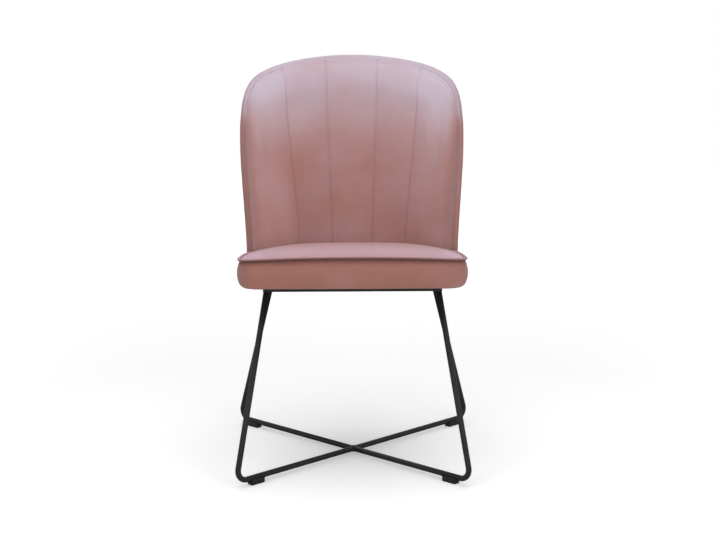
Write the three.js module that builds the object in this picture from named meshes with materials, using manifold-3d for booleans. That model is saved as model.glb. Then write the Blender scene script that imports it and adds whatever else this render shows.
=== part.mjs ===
// Scallop back dining chair: rod frame, seat unit and channelled tub back, in millimetres, +Z up.
// The working frame has Y = 0 at the front corners of the floor bars, and -Y is the sitter's front.
import * as THREE from 'three';
import { mergeVertices } from 'three/addons/utils/BufferGeometryUtils.js';
import Module from 'manifold-3d';

const wasm = await Module();
wasm.setup();

// Clearances
const fit_gap = 0.3;
const soft_gap = 1;
const cut_overrun = 5;

// Rod frame
const rod_diameter = 12;
const rod_bend_radius = 22;
const front_corner_half_spacing = 239.5;
const rear_corner_half_spacing = 279;
const corner_depth_spacing = 488;
const front_leg_run = 87.2;
const rear_leg_run = 134.6;

// Floor glides, clipped on the floor bars from below
const glide_height = 8;
const glide_length = 35;
const glide_width = 16;
const glide_bevel = 1.5;
const glide_from_corner = 52;

// Mounting frame under the seat
const cross_bar_width = 28;
const cross_bar_thickness = 9;
const rail_width = 25;
const rail_thickness = 5;
const rail_half_spacing = 120;
const tab_half_spacing = 45;
const tab_end_margin = 11;
const weld_gap = fit_gap;

// Bolts, washers and T-nuts
const bolt_diameter = 6;
const bolt_head_diameter = 11;
const bolt_head_height = 3.5;
const bolt_from_cross_bar = 40;
const bolt_end_margin = 3;
const washer_diameter = 16;
const washer_thickness = 1.5;
const nut_flange_diameter = 18;
const nut_flange_thickness = 1.5;
const nut_barrel_diameter = 9;
const nut_barrel_length = 8;
const lag_bolt_depth = 30;

// Plates that join the seat unit to the foot of the back
const plate_width = 50;
const plate_thickness = 4;
const plate_edge_margin = 9;
const plate_screw_spacing = 28;
const plate_seat_screw_x = 160;
const screw_diameter = 4;
const screw_head_diameter = 8;
const screw_head_height = 2.5;
const screw_depth = 11;

// Seat unit
const seat_underside_height = 409;
const seat_band_height = 65.5;
const seat_rear_drop = 24;
const seat_corner_droop = 6.8;
const seat_crown = 9;
const seat_front_setback = 9;
const seat_front_bow = 3;
const seat_half_width = 232;
const seat_side_taper = 7;
const seat_corner_radius = 45;
const seat_board_thickness = 12;
const dust_cover_thickness = 1;
const band_thickness = 8;
const band_bulge = 6.9;
const band_draw_in = 2.5;
const band_foot_radius = 7;
const piping_diameter = 6;
const foot_turn_share = 0.35;
const corner_droop_share = 2.4;
const crown_ring_shares = [0.97, 0.9, 0.78, 0.6, 0.35];
const crown_roundness_share = 0.45;

// Back unit: outline of the outer face
const back_rise = 421.5;
const shoulder_rise = 266.5;
const shoulder_half_width = 255.5;
const shoulder_setback = 363.5;
const shoulder_ease = 30;
const wing_base_half_width = 228.8;
const wing_setback = 192;
const base_rear_setback = 479;
const top_rear_setback = 541;
const base_squareness_share = 3.1;
const top_squareness_share = 2.25;
const arch_crown_share = 1.7;
const arch_side_share = 4.4;
const wing_sweep_shares = [0.3, 0.95];
const flare_shares = [0.06, 0.05];
const recline_shares = [0.02, 0.2];

// Back unit: layers from the outer face inwards
const rim_thickness = 14;
const rim_depth = 12;
const rim_seam_gap = 1.5;
const rear_cover_thickness = 3;
const back_board_thickness = 6.5;
const back_mid_thickness = 44;
const foot_rail_height = 42;
const channel_crown = 6;
const wing_crown = 2.5;
const channel_squareness_share = 2.4;
const pad_edge_dip = 1;
const pad_swell_side_share = 0.5;
const pad_swell_top_share = 0.3;
const slope_probe = 1;
const seam_foot_shares = [0.215, 0.645];
const seam_top_shares = [0.255, 0.68];

// Mesh counts
const rod_side_count = 12;
const bend_step_count = 5;
const round_side_count = 10;
const screw_side_count = 6;
const hole_side_count = 10;
const channel_column_count = 6;
const wing_column_count = 7;
const plan_sample_count = 200;
const back_row_count = 11;
const row_crowding_share = 0.5;
const rim_step_count = 8;
const piping_side_count = 8;
const front_step_count = 5;
const corner_step_count = 6;
const side_step_count = 3;
const step_arc_count = 3;
const band_step_count = 6;
const crown_smoothing_count = 24;

const steel = { color: 0x1b1b1c, roughness: 0.55, metalness: 0.3 };
const zinc = { color: 0xb9bcc0, roughness: 0.35, metalness: 0.9 };
const velvet = { color: 0xa5796f, roughness: 0.9, metalness: 0 };
const foam = { color: 0xe8e0c4, roughness: 1, metalness: 0 };
const plywood = { color: 0xc9a877, roughness: 0.7, metalness: 0 };
const felt = { color: 0x202020, roughness: 1, metalness: 0 };
const plastic = { color: 0x141414, roughness: 0.5, metalness: 0 };

const axes = [new THREE.Vector3(1, 0, 0), new THREE.Vector3(0, 1, 0), new THREE.Vector3(0, 0, 1)];
const chair = new THREE.Group();

function add(name, geometry, look) {
  const mesh = new THREE.Mesh(geometry, new THREE.MeshStandardMaterial(look));
  mesh.name = name;
  chair.add(mesh);
  return mesh;
}

// Solids and booleans

function toSolid(geometry) {
  const bare = geometry.clone();
  bare.deleteAttribute('normal');
  bare.deleteAttribute('uv');
  const merged = mergeVertices(bare);
  return new wasm.Manifold(new wasm.Mesh({
    numProp: 3,
    vertProperties: new Float32Array(merged.attributes.position.array),
    triVerts: new Uint32Array(merged.index.array),
  }));
}

function toGeometry(solid) {
  const mesh = solid.getMesh();
  const geometry = new THREE.BufferGeometry();
  geometry.setAttribute('position', new THREE.BufferAttribute(new Float32Array(mesh.vertProperties), 3));
  geometry.setIndex(new THREE.BufferAttribute(new Uint32Array(mesh.triVerts), 1));
  geometry.computeVertexNormals();
  return geometry;
}

function cut(geometry, ...tools) {
  let solid = toSolid(geometry);
  for (const tool of tools) solid = solid.subtract(toSolid(tool));
  return toGeometry(solid);
}

function fromFaces(points, faces) {
  const geometry = new THREE.BufferGeometry();
  geometry.setFromPoints(points);
  geometry.setIndex(outwards(points, faces).flat());
  geometry.computeVertexNormals();
  return geometry;
}

// A closed mesh whose signed volume is negative is inside out, so its faces are turned over
function outwards(points, faces) {
  const volume = faces.reduce((sum, [a, b, c]) =>
    sum + points[a].dot(new THREE.Vector3().crossVectors(points[b], points[c])), 0);
  return volume < 0 ? faces.map(([a, b, c]) => [a, c, b]) : faces;
}

function centreOf(points) {
  const sum = new THREE.Vector3();
  for (const point of points) sum.add(point);
  return sum.divideScalar(points.length);
}

// Skin over a row of rings with equal counts; an open row is capped, a looped one joins its ends
function loft(rings, looped = false, tips = []) {
  const count = rings[0].length;
  const points = rings.flat();
  const faces = [];
  const spans = looped ? rings.length : rings.length - 1;
  for (let i = 0; i < spans; i++) {
    const low = i * count;
    const high = ((i + 1) % rings.length) * count;
    for (let k = 0; k < count; k++) {
      const next = (k + 1) % count;
      faces.push([low + k, low + next, high + next], [low + k, high + next, high + k]);
    }
  }
  if (!looped) {
    const last = (rings.length - 1) * count;
    const foot = points.push(tips[0] ?? centreOf(rings[0])) - 1;
    const head = points.push(tips[1] ?? centreOf(rings[rings.length - 1])) - 1;
    for (let k = 0; k < count; k++) {
      const next = (k + 1) % count;
      faces.push([foot, next, k], [head, last + k, last + next]);
    }
  }
  return fromFaces(points, faces);
}

// Solid between two grids of points with the same rows and columns
function slab(front, back) {
  const rows = front.length;
  const columns = front[0].length;
  const points = [...front.flat(), ...back.flat()];
  const offset = rows * columns;
  const at = (row, column) => row * columns + column;
  const faces = [];
  for (let row = 0; row < rows - 1; row++) {
    for (let column = 0; column < columns - 1; column++) {
      const [a, b] = [at(row, column), at(row, column + 1)];
      const [c, d] = [at(row + 1, column + 1), at(row + 1, column)];
      const left = 2 * column < columns - 1;
      const [first, second] = left ? [[a, b, c], [a, c, d]] : [[a, b, d], [b, c, d]];
      faces.push(first, second);
      faces.push(first.map((k) => offset + k).reverse(), second.map((k) => offset + k).reverse());
    }
  }
  for (const [a, b] of gridEdge(rows, columns, at)) {
    faces.push([b, a, offset + a], [b, offset + a, offset + b]);
  }
  return fromFaces(points, faces);
}

function gridEdge(rows, columns, at) {
  const loop = [];
  for (let column = 0; column < columns - 1; column++) loop.push(at(0, column));
  for (let row = 0; row < rows - 1; row++) loop.push(at(row, columns - 1));
  for (let column = columns - 1; column > 0; column--) loop.push(at(rows - 1, column));
  for (let row = rows - 1; row > 0; row--) loop.push(at(row, 0));
  return loop.map((point, i) => [point, loop[(i + 1) % loop.length]]);
}

function upright(radius, low, high, x, y, sides = hole_side_count) {
  const geometry = new THREE.CylinderGeometry(radius, radius, high - low, sides);
  geometry.rotateX(Math.PI / 2);
  geometry.translate(x, y, (low + high) / 2);
  return geometry;
}

function block(x0, x1, y0, y1, z0, z1) {
  const geometry = new THREE.BoxGeometry(x1 - x0, y1 - y0, z1 - z0);
  geometry.translate((x0 + x1) / 2, (y0 + y1) / 2, (z0 + z1) / 2);
  return geometry;
}

// Lathe of radius and height pairs, turned about a vertical axis
function turned(profile, x, y, sides = round_side_count) {
  const geometry = new THREE.LatheGeometry(profile.map(([r, z]) => new THREE.Vector2(r, z)), sides);
  geometry.rotateX(Math.PI / 2);
  geometry.translate(x, y, 0);
  return geometry;
}

// Frame sizes worked out from the ones above
const rod_radius = rod_diameter / 2;
const bar_height = glide_height + rod_radius;
const mount_top = seat_underside_height - fit_gap;
const cross_bar_low = mount_top - cross_bar_thickness;
const leg_top = cross_bar_low - weld_gap;
const corner_width_spacing = front_corner_half_spacing + rear_corner_half_spacing;
const floor_run = new THREE.Vector2(corner_width_spacing, corner_depth_spacing);
const floor_direction = floor_run.clone().normalize();
const crossing_y = corner_depth_spacing * front_corner_half_spacing / floor_run.x;
const leg_rise = leg_top - bar_height;

function legTop(front) {
  const run = front ? front_leg_run : rear_leg_run;
  const spacing = front ? front_corner_half_spacing : rear_corner_half_spacing;
  const y = front ? run * floor_direction.y : corner_depth_spacing - run * floor_direction.y;
  return new THREE.Vector3(spacing - run * floor_direction.x, y, leg_top);
}

function floorCorner(front) {
  const x = front ? front_corner_half_spacing : rear_corner_half_spacing;
  return new THREE.Vector3(x, front ? 0 : corner_depth_spacing, bar_height);
}

// Rod path through corner points, with each inner corner rounded to the bend radius
class RodPath extends THREE.Curve {
  constructor(corners) {
    super();
    this.stations = [corners[0]];
    for (let i = 1; i < corners.length - 1; i++) this.addBend(corners[i - 1], corners[i], corners[i + 1]);
    this.stations.push(corners[corners.length - 1]);
  }

  addBend(before, corner, after) {
    const back = before.clone().sub(corner).normalize();
    const on = after.clone().sub(corner).normalize();
    const half = back.angleTo(on) / 2;
    const centre = back.clone().add(on).setLength(rod_bend_radius / Math.sin(half)).add(corner);
    const start = corner.clone().addScaledVector(back, rod_bend_radius / Math.tan(half)).sub(centre);
    const axis = new THREE.Vector3().crossVectors(on, back).normalize();
    for (let k = 0; k <= bend_step_count; k++) {
      const turn = (Math.PI - 2 * half) * k / bend_step_count;
      this.stations.push(start.clone().applyAxisAngle(axis, turn).add(centre));
    }
  }

  getPoint(t) {
    const place = t * (this.stations.length - 1);
    const i = Math.min(Math.floor(place), this.stations.length - 2);
    return this.stations[i].clone().lerp(this.stations[i + 1], place - i);
  }

  getPointAt(u) {
    return this.getPoint(u);
  }

  getTangentAt(u) {
    return this.getTangent(u);
  }
}

function rod(corners) {
  const path = new RodPath(corners);
  const section = new THREE.Shape();
  section.absarc(0, 0, rod_radius, 0, 2 * Math.PI);
  return new THREE.ExtrudeGeometry(section, {
    extrudePath: path,
    steps: path.stations.length - 1,
    curveSegments: rod_side_count,
    bevelEnabled: false,
  });
}

function mirrored(point, side) {
  return new THREE.Vector3(point.x * side, point.y, point.z);
}

// A leg's top runs on past the cut plane, so that the cut leaves a level face under the cross bar
function legStart(front, side) {
  const [top, foot] = [legTop(front), floorCorner(front)];
  const beyond = top.clone().sub(foot).setLength(rod_diameter).add(top);
  return [mirrored(beyond, side), mirrored(foot, side)];
}

function addRods() {
  const above = block(-rear_corner_half_spacing, rear_corner_half_spacing,
    -rod_diameter, corner_depth_spacing, leg_top, leg_top + 2 * rod_diameter);
  const whole = [...legStart(true, -1), ...legStart(false, 1).reverse()];
  add('frame_rod_through', cut(rod(whole), above), steel);
  const crossing = new THREE.Vector3(0, crossing_y, bar_height);
  const length = floor_run.length();
  const cope_radius = rod_radius + 2 * fit_gap;
  const cope = new THREE.CylinderGeometry(cope_radius, cope_radius, length, 2 * rod_side_count);
  cope.rotateZ(floor_direction.angle() - Math.PI / 2);
  cope.translate(crossing.x, crossing.y, crossing.z);
  add('frame_rod_front_half', cut(rod([...legStart(true, 1), crossing]), above, cope), steel);
  add('frame_rod_rear_half', cut(rod([...legStart(false, -1), crossing]), above, cope), steel);
}

// Glides

function addGlide(name, front, side) {
  const inner = rod_radius + fit_gap;
  const half = glide_width / 2;
  const section = new THREE.Shape();
  section.moveTo(-half + glide_bevel, 0);
  section.lineTo(half - glide_bevel, 0);
  section.lineTo(half, glide_bevel);
  section.lineTo(half, bar_height);
  section.lineTo(inner, bar_height);
  section.absarc(0, bar_height, inner, 0, Math.PI, true);
  section.lineTo(-half, bar_height);
  section.lineTo(-half, glide_bevel);
  section.closePath();
  const geometry = new THREE.ExtrudeGeometry(section, {
    depth: glide_length, steps: 1, curveSegments: round_side_count, bevelEnabled: false,
  });
  geometry.translate(0, 0, -glide_length / 2);
  geometry.rotateX(Math.PI / 2);
  geometry.rotateZ(side * (floor_direction.angle() - Math.PI / 2) * (front ? -1 : 1));
  const corner = floorCorner(front);
  const inwards = floor_direction.clone().multiplyScalar(front ? glide_from_corner : -glide_from_corner);
  const x = corner.x - Math.abs(inwards.x);
  geometry.translate(side * x, corner.y + inwards.y, 0);
  add(name, geometry, plastic);
}

// Back outline functions

function hermite(from, to, slopes, share, length) {
  const t = THREE.MathUtils.clamp(share, 0, 1);
  const [t2, t3] = [t * t, t * t * t];
  return (2 * t3 - 3 * t2 + 1) * from + (t3 - 2 * t2 + t) * slopes[0] * length
    + (3 * t2 - 2 * t3) * to + (t3 - t2) * slopes[1] * length;
}

const seat_seam_height = seat_underside_height + seat_band_height;
const shoulder_height = seat_seam_height + shoulder_rise;
const sweepShare = (z) => (z - seat_seam_height) / shoulder_rise;

function rearSetback(z) {
  const share = (z - seat_seam_height) / back_rise;
  return hermite(base_rear_setback, top_rear_setback, recline_shares, share, back_rise);
}

// Over the shoulder the wings' front line eases into the slope of the back
function wingSetback(z) {
  const past = Math.max(z - shoulder_height, 0);
  const eased = wing_sweep_shares[1] * shoulder_ease * (1 - Math.exp(-past / shoulder_ease));
  const lean = past > 0 ? rearSetback(z) - rearSetback(shoulder_height) : 0;
  const swept = hermite(wing_setback, shoulder_setback, wing_sweep_shares, sweepShare(z), shoulder_rise);
  return swept + eased + lean;
}

function outerHalfWidth(z) {
  return hermite(wing_base_half_width, shoulder_half_width, flare_shares, sweepShare(z), shoulder_rise);
}

function planSquareness(z) {
  const share = THREE.MathUtils.smoothstep(sweepShare(z), 0, 1);
  return THREE.MathUtils.lerp(base_squareness_share, top_squareness_share, share);
}

// Point of the outer face at a signed share of the half width
function outerPoint(share, z) {
  const power = planSquareness(z);
  const reach = Math.pow(Math.max(1 - Math.pow(Math.abs(share), power), 0), 1 / power);
  const front = wingSetback(z);
  return new THREE.Vector3(share * outerHalfWidth(z), front + (rearSetback(z) - front) * reach, z);
}

// How far out a point lies: one on the outer face, less inside it
function reachValue(point, z = point.z) {
  const power = planSquareness(z);
  const front = wingSetback(z);
  const back = Math.max(point.y - front, 0) / (rearSetback(z) - front);
  return Math.pow(Math.pow(Math.abs(point.x) / outerHalfWidth(z), power) + Math.pow(back, power), 1 / power);
}

// Moves a point level to the outer face, away from the middle of the wings' front line
function ontoOuterFace(point) {
  const front = wingSetback(point.z);
  const scale = 1 / reachValue(point);
  return new THREE.Vector3(point.x * scale, front + Math.max(point.y - front, 0) * scale, point.z);
}

function outwardNormal(point) {
  const step = (axis) => {
    const ahead = point.clone().addScaledVector(axis, slope_probe);
    const behind = point.clone().addScaledVector(axis, -slope_probe);
    return reachValue(ahead) - reachValue(behind);
  };
  return new THREE.Vector3(...axes.map(step)).normalize();
}

function archHeight(share) {
  const left = Math.max(1 - Math.pow(Math.abs(share), arch_crown_share), 0);
  return shoulder_height + (back_rise - shoulder_rise) * Math.pow(left, 1 / arch_side_share);
}

// Columns follow the sewn seams, and the wings' columns are evenly spaced along the plan
const half_columns = 1.5 * channel_column_count + wing_column_count;
const column_count = 2 * half_columns;

function wingShares(z, seam) {
  const reach = [];
  const lengths = [0];
  for (let i = 0; i <= plan_sample_count; i++) {
    reach.push(1 - (1 - seam) * Math.pow(1 - i / plan_sample_count, 2));
    if (i > 0) {
      const step = outerPoint(reach[i], z).distanceTo(outerPoint(reach[i - 1], z));
      lengths.push(lengths[i - 1] + step);
    }
  }
  const shares = [];
  for (let column = 0; column <= wing_column_count; column++) {
    const target = lengths[plan_sample_count] * column / wing_column_count;
    shares.push(reach[lengths.findIndex((length) => length >= target)]);
  }
  return shares;
}

const wing_foot_shares = wingShares(seat_underside_height, seam_foot_shares[1]);
const wing_top_shares = wingShares(shoulder_height, seam_top_shares[1]);

function columnShare(column, seams, wings) {
  const side = Math.sign(column - half_columns);
  const place = Math.abs(column - half_columns);
  const inner = channel_column_count / 2;
  if (place <= inner) return side * seams[0] * place / inner;
  if (place <= inner + channel_column_count) {
    return side * THREE.MathUtils.lerp(seams[0], seams[1], (place - inner) / channel_column_count);
  }
  return side * wings[place - inner - channel_column_count];
}

const foot_rail_top = seat_underside_height + foot_rail_height;

function outerGridPoint(column, rise) {
  const topShare = columnShare(column, seam_top_shares, wing_top_shares);
  const footShare = columnShare(column, seam_foot_shares, wing_foot_shares);
  const share = THREE.MathUtils.lerp(footShare, topShare, rise);
  const z = THREE.MathUtils.lerp(foot_rail_top, archHeight(topShare), rise);
  return outerPoint(share, z);
}

// Rows of the grid are closer near the top, where the arch turns
function rowRise(row) {
  const even = row / back_row_count;
  return THREE.MathUtils.lerp(even, Math.sin(Math.PI / 2 * even), row_crowding_share);
}

const outer_grid = [];
for (let row = 0; row <= back_row_count; row++) {
  const points = [];
  for (let column = 0; column <= column_count; column++) points.push(outerGridPoint(column, rowRise(row)));
  outer_grid.push(points);
}

// Stations round the rim: up the left wing, over the arch and down the right wing
const rim_stations = [];
for (let row = 0; row < back_row_count; row++) rim_stations.push([row, 0]);
for (let column = 0; column <= column_count; column++) rim_stations.push([back_row_count, column]);
for (let row = back_row_count - 1; row >= 0; row--) rim_stations.push([row, column_count]);

const rim_frames = rim_stations.map(([row, column], i) => {
  const before = rim_stations[Math.max(i - 1, 0)];
  const after = rim_stations[Math.min(i + 1, rim_stations.length - 1)];
  const along = outer_grid[after[0]][after[1]].clone().sub(outer_grid[before[0]][before[1]]);
  if (row === 0) along.setX(0).setY(0);
  along.normalize();
  const out = outwardNormal(outer_grid[row][column]);
  out.addScaledVector(along, -out.dot(along)).normalize();
  const inwards = new THREE.Vector3().crossVectors(out, along).normalize();
  return { point: outer_grid[row][column], out, inwards };
});

function rimFrame(row, column) {
  return rim_frames[rim_stations.findIndex(([r, c]) => r === row && c === column)];
}

// The panels inside the rim roll: the outer grid drawn in from the rim by the roll's depth
const rim_inset = rim_depth + rim_seam_gap;

function insetPoint(row, column) {
  const point = outer_grid[row][column].clone();
  const edge = column < half_columns ? 0 : column_count;
  const across = Math.abs(column - half_columns) / half_columns;
  const up = row / back_row_count;
  const wing = rimFrame(row, edge);
  const top = rimFrame(back_row_count, column);
  const corner = rimFrame(back_row_count, edge);
  const inset = (frame, share) => point.addScaledVector(frame.inwards, share * rim_inset);
  inset(wing, across * across);
  inset(top, up * up);
  inset(corner, -across * across * up * up);
  return ontoOuterFace(point);
}

const panel_grid = outer_grid.map((points, row) => points.map((point, column) => insetPoint(row, column)));
const panel_normals = panel_grid.map((points) => points.map(outwardNormal));

// Row of points under the grid's foot row: the foot of the back stands upright
function footRow(points, z) {
  return points.map((point) => new THREE.Vector3(point.x, point.y, z));
}

function layer(depthAt) {
  return panel_grid.map((points, row) => points.map((point, column) =>
    point.clone().addScaledVector(panel_normals[row][column], -depthAt(row, column))));
}

const board_outer_depth = rear_cover_thickness + fit_gap;
const board_inner_depth = board_outer_depth + back_board_thickness;
const pad_outer_depth = board_inner_depth + fit_gap;

// Thickness of the back without its channels, from the rim's inwards
function backThickness(row, column) {
  const across = 1 - Math.abs(column - half_columns) / half_columns;
  const up = 1 - row / back_row_count;
  const rounded = (distance, share) => Math.sin(Math.min(distance / share, 1) * Math.PI / 2);
  const swell = rounded(across, pad_swell_side_share) * rounded(up, pad_swell_top_share);
  return THREE.MathUtils.lerp(rim_thickness - pad_edge_dip, back_mid_thickness, swell);
}

// Rise of a channel over its seams: nought on each seam, and most in the middle
function channelRise(column) {
  const place = Math.abs(column - half_columns) + channel_column_count / 2;
  const sewn = 2 * channel_column_count;
  const channel = [channel_crown, channel_column_count];
  const [crown, width] = place < sewn ? channel : [wing_crown, wing_column_count];
  const from = Math.min(Math.floor(place / channel_column_count) * channel_column_count, sewn);
  const across = 2 * (place - from) / width - 1;
  return crown * (1 - Math.pow(Math.abs(across), channel_squareness_share));
}

function padDepth(row, column) {
  return backThickness(row, column) + channelRise(column);
}

function addBackPanels() {
  const front = layer(padDepth);
  const back = layer(() => pad_outer_depth);
  add('back_front_pad', slab(front, back), velvet);
  const withFoot = (grid) => [footRow(grid[0], seat_underside_height), ...grid];
  const panel = (inner, outer) => slab(withFoot(layer(() => inner)), withFoot(layer(() => outer)));
  add('back_board', panel(board_inner_depth, board_outer_depth), plywood);
  add('back_rear_cover', panel(rear_cover_thickness, 0), velvet);
}

// D-shaped roll round the rim: its flat face follows the panels' edges
function rimSection(frame, i) {
  const [row, column] = rim_stations[i];
  const outer = panel_grid[row][column].clone().addScaledVector(frame.inwards, -rim_seam_gap);
  const inner = outer.clone().addScaledVector(panel_normals[row][column], -rim_thickness);
  const middle = outer.clone().add(inner).divideScalar(2);
  const reach = frame.point.clone().addScaledVector(frame.out, -rim_thickness / 2).sub(middle);
  const half = inner.clone().sub(middle);
  const ring = [];
  for (let k = 0; k <= rim_step_count; k++) {
    const turn = Math.PI * (k / rim_step_count - 1 / 2);
    ring.push(middle.clone().addScaledVector(half, Math.sin(turn)).addScaledVector(reach, Math.cos(turn)));
  }
  return ring;
}

function addRimRoll() {
  const sections = rim_frames.map(rimSection);
  const flat = (ring) => ring.map((point) => new THREE.Vector3(point.x, point.y, seat_underside_height));
  add('back_rim_roll', loft([flat(sections[0]), ...sections, flat(sections[sections.length - 1])]), velvet);
}

// Foot rail of the back: a bent strip of wood inside the board, as deep as the pad above it
function footLine(depthAt, z) {
  return panel_grid[0].map((point, column) => {
    const moved = point.clone().addScaledVector(panel_normals[0][column], -depthAt(column));
    return moved.setZ(z);
  });
}

const railInnerDepth = (column) => backThickness(0, column);
const railMiddleDepth = (column) => (pad_outer_depth + railInnerDepth(column)) / 2;
const rail_middle = footLine(railMiddleDepth, seat_underside_height).slice(half_columns);

// Places on the right half of the foot rail's middle line, by distance back or by distance out
function railPointAtY(y) {
  const i = rail_middle.findIndex((point) => point.y <= y);
  const [from, to] = [rail_middle[i - 1], rail_middle[i]];
  return from.clone().lerp(to, (from.y - y) / (from.y - to.y));
}

function railPointAtX(x) {
  const i = rail_middle.findIndex((point) => point.x >= x);
  const [from, to] = [rail_middle[i - 1], rail_middle[i]];
  return from.clone().lerp(to, (x - from.x) / (to.x - from.x));
}

function addFootRail(holes) {
  const heights = [seat_underside_height, foot_rail_top - fit_gap];
  const rows = (depthAt) => heights.map((z) => footLine(depthAt, z));
  const rail = slab(rows(railInnerDepth), rows(() => pad_outer_depth));
  add('back_foot_rail', cut(rail, ...holes), plywood);
}

// Seat plan. The seam line runs round the seat; behind the wings' front it steps in to clear them
const piping_radius = piping_diameter / 2;
const seat_margin = soft_gap + piping_radius;
const seat_side_end = seat_half_width - seat_side_taper;
const seat_inner_width = wing_base_half_width - padDepth(0, 1) - seat_margin;
const step_radius = (seat_side_end - seat_inner_width) / 2;
const step_y = wing_setback - seat_margin;

function arc(centre_x, centre_y, radius, from, to, steps) {
  const points = [];
  for (let k = 0; k <= steps; k++) {
    const turn = THREE.MathUtils.lerp(from, to, k / steps);
    points.push(new THREE.Vector2(centre_x + radius * Math.cos(turn), centre_y + radius * Math.sin(turn)));
  }
  return points;
}

function frontEdge() {
  const reach = seat_half_width - seat_corner_radius;
  const points = [];
  for (let k = 0; k < front_step_count; k++) {
    const share = k / front_step_count;
    points.push(new THREE.Vector2(share * reach, seat_front_setback + seat_front_bow * share * share));
  }
  return points;
}

// Rear of the seam line: the front pad's face at the seat, drawn in by the piping and a gap
function rearEdge() {
  const start = step_y + step_radius;
  const points = [];
  for (let column = column_count; column >= half_columns; column--) {
    const wing = (column - half_columns - 1.5 * channel_column_count) / wing_column_count;
    const crown = THREE.MathUtils.lerp(channel_crown, wing_crown, Math.max(wing, 0));
    const depth = backThickness(0, column) + crown + seat_margin;
    const point = panel_grid[0][column].clone().addScaledVector(panel_normals[0][column], -depth);
    const behind_step = point.y > start + step_radius && point.x < seat_inner_width;
    if (behind_step) points.push(new THREE.Vector2(point.x, point.y));
  }
  return points;
}

function rightOutline() {
  const corner_x = seat_half_width - seat_corner_radius;
  const corner_y = seat_front_setback + seat_front_bow + seat_corner_radius;
  const side_y = step_y - step_radius;
  const side = [];
  for (let k = 1; k < side_step_count; k++) {
    const share = k / side_step_count;
    side.push(new THREE.Vector2(seat_half_width - seat_side_taper * share,
      THREE.MathUtils.lerp(corner_y, side_y, share)));
  }
  const out = arc(seat_side_end - step_radius, side_y, step_radius, 0, Math.PI / 2, step_arc_count);
  const back = arc(seat_side_end - step_radius, step_y + step_radius, step_radius,
    3 * Math.PI / 2, Math.PI, step_arc_count);
  return [
    ...frontEdge(),
    ...arc(corner_x, corner_y, seat_corner_radius, -Math.PI / 2, 0, corner_step_count),
    ...side, ...out, ...back.slice(1), ...rearEdge(),
  ];
}

// Whole seam line from the front's middle, anticlockwise from above
function seamOutline() {
  const right = rightOutline();
  const left = right.slice(1, -1).reverse().map((point) => new THREE.Vector2(-point.x, point.y));
  return [...right, ...left];
}

const seam_outline = seamOutline();

function outlineNormals(outline) {
  return outline.map((point, i) => {
    const before = outline[(i + outline.length - 1) % outline.length];
    const after = outline[(i + 1) % outline.length];
    return new THREE.Vector2(after.y - before.y, before.x - after.x).normalize();
  });
}

const seam_normals = outlineNormals(seam_outline);

// Seam line moved outwards by a distance
function seamAt(distance) {
  return seam_outline.map((point, i) => point.clone().addScaledVector(seam_normals[i], distance));
}

const seat_depth = Math.max(...seam_outline.map((point) => point.y)) - seat_front_setback;
const seat_middle = new THREE.Vector2(0, step_y);

function seamHeight(point) {
  const back = (point.y - seat_front_setback) / seat_depth;
  const out = Math.abs(point.x) / seat_half_width;
  return seat_seam_height - seat_rear_drop * back - seat_corner_droop * Math.pow(out, corner_droop_share);
}

const seam_heights = seam_outline.map(seamHeight);

// Ring with its heights taken from the seam, so that what is sewn together lies parallel
function seamRing(distance, drop) {
  return seamAt(distance).map((point, i) => new THREE.Vector3(point.x, point.y, seam_heights[i] - drop));
}

function ringAt(points, heightAt) {
  return points.map((point) => new THREE.Vector3(point.x, point.y, heightAt(point)));
}

function middleAt(height) {
  return new THREE.Vector3(seat_middle.x, seat_middle.y, height);
}

// The band: a wall with a rounded foot and a bulge between its two seams
const band_top_drop = piping_radius + fit_gap;

function addSeatBand() {
  const rings = seam_outline.map((point, i) => {
    const top = seam_heights[i] - band_top_drop;
    const place = (out, z) => new THREE.Vector3(
      point.x + seam_normals[i].x * out, point.y + seam_normals[i].y * out, z);
    const ring = [place(-band_thickness, top), place(-band_thickness, seat_underside_height)];
    const rise = top - seat_underside_height;
    for (let k = 0; k <= band_step_count; k++) {
      const share = k / band_step_count;
      const bulge = band_bulge * Math.sin(Math.PI * share) - band_draw_in;
      const foot = Math.max(1 - share * rise / band_foot_radius, 0);
      const turn_in = band_foot_radius * (1 - Math.sqrt(1 - foot * foot)) * foot_turn_share;
      ring.push(place(bulge - turn_in, seat_underside_height + share * rise));
    }
    return ring;
  });
  add('seat_side_band', loft(rings, true), velvet);
}

function addSeatPiping() {
  const rings = seam_outline.map((point, i) => {
    const ring = [];
    for (let k = 0; k < piping_side_count; k++) {
      const turn = 2 * Math.PI * k / piping_side_count;
      const out = piping_radius * Math.cos(turn);
      const x = point.x + seam_normals[i].x * out;
      const y = point.y + seam_normals[i].y * out;
      ring.push(new THREE.Vector3(x, y, seam_heights[i] + piping_radius * Math.sin(turn)));
    }
    return ring;
  });
  add('seat_piping', loft(rings, true), velvet);
}

function smoothed(points, passes) {
  let ring = points;
  for (let pass = 0; pass < passes; pass++) {
    ring = ring.map((point, i) => {
      const before = ring[(i + ring.length - 1) % ring.length];
      const after = ring[(i + 1) % ring.length];
      return before.clone().lerp(after, 1 / 2).lerp(point, 1 / 2);
    });
  }
  return ring;
}

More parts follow.
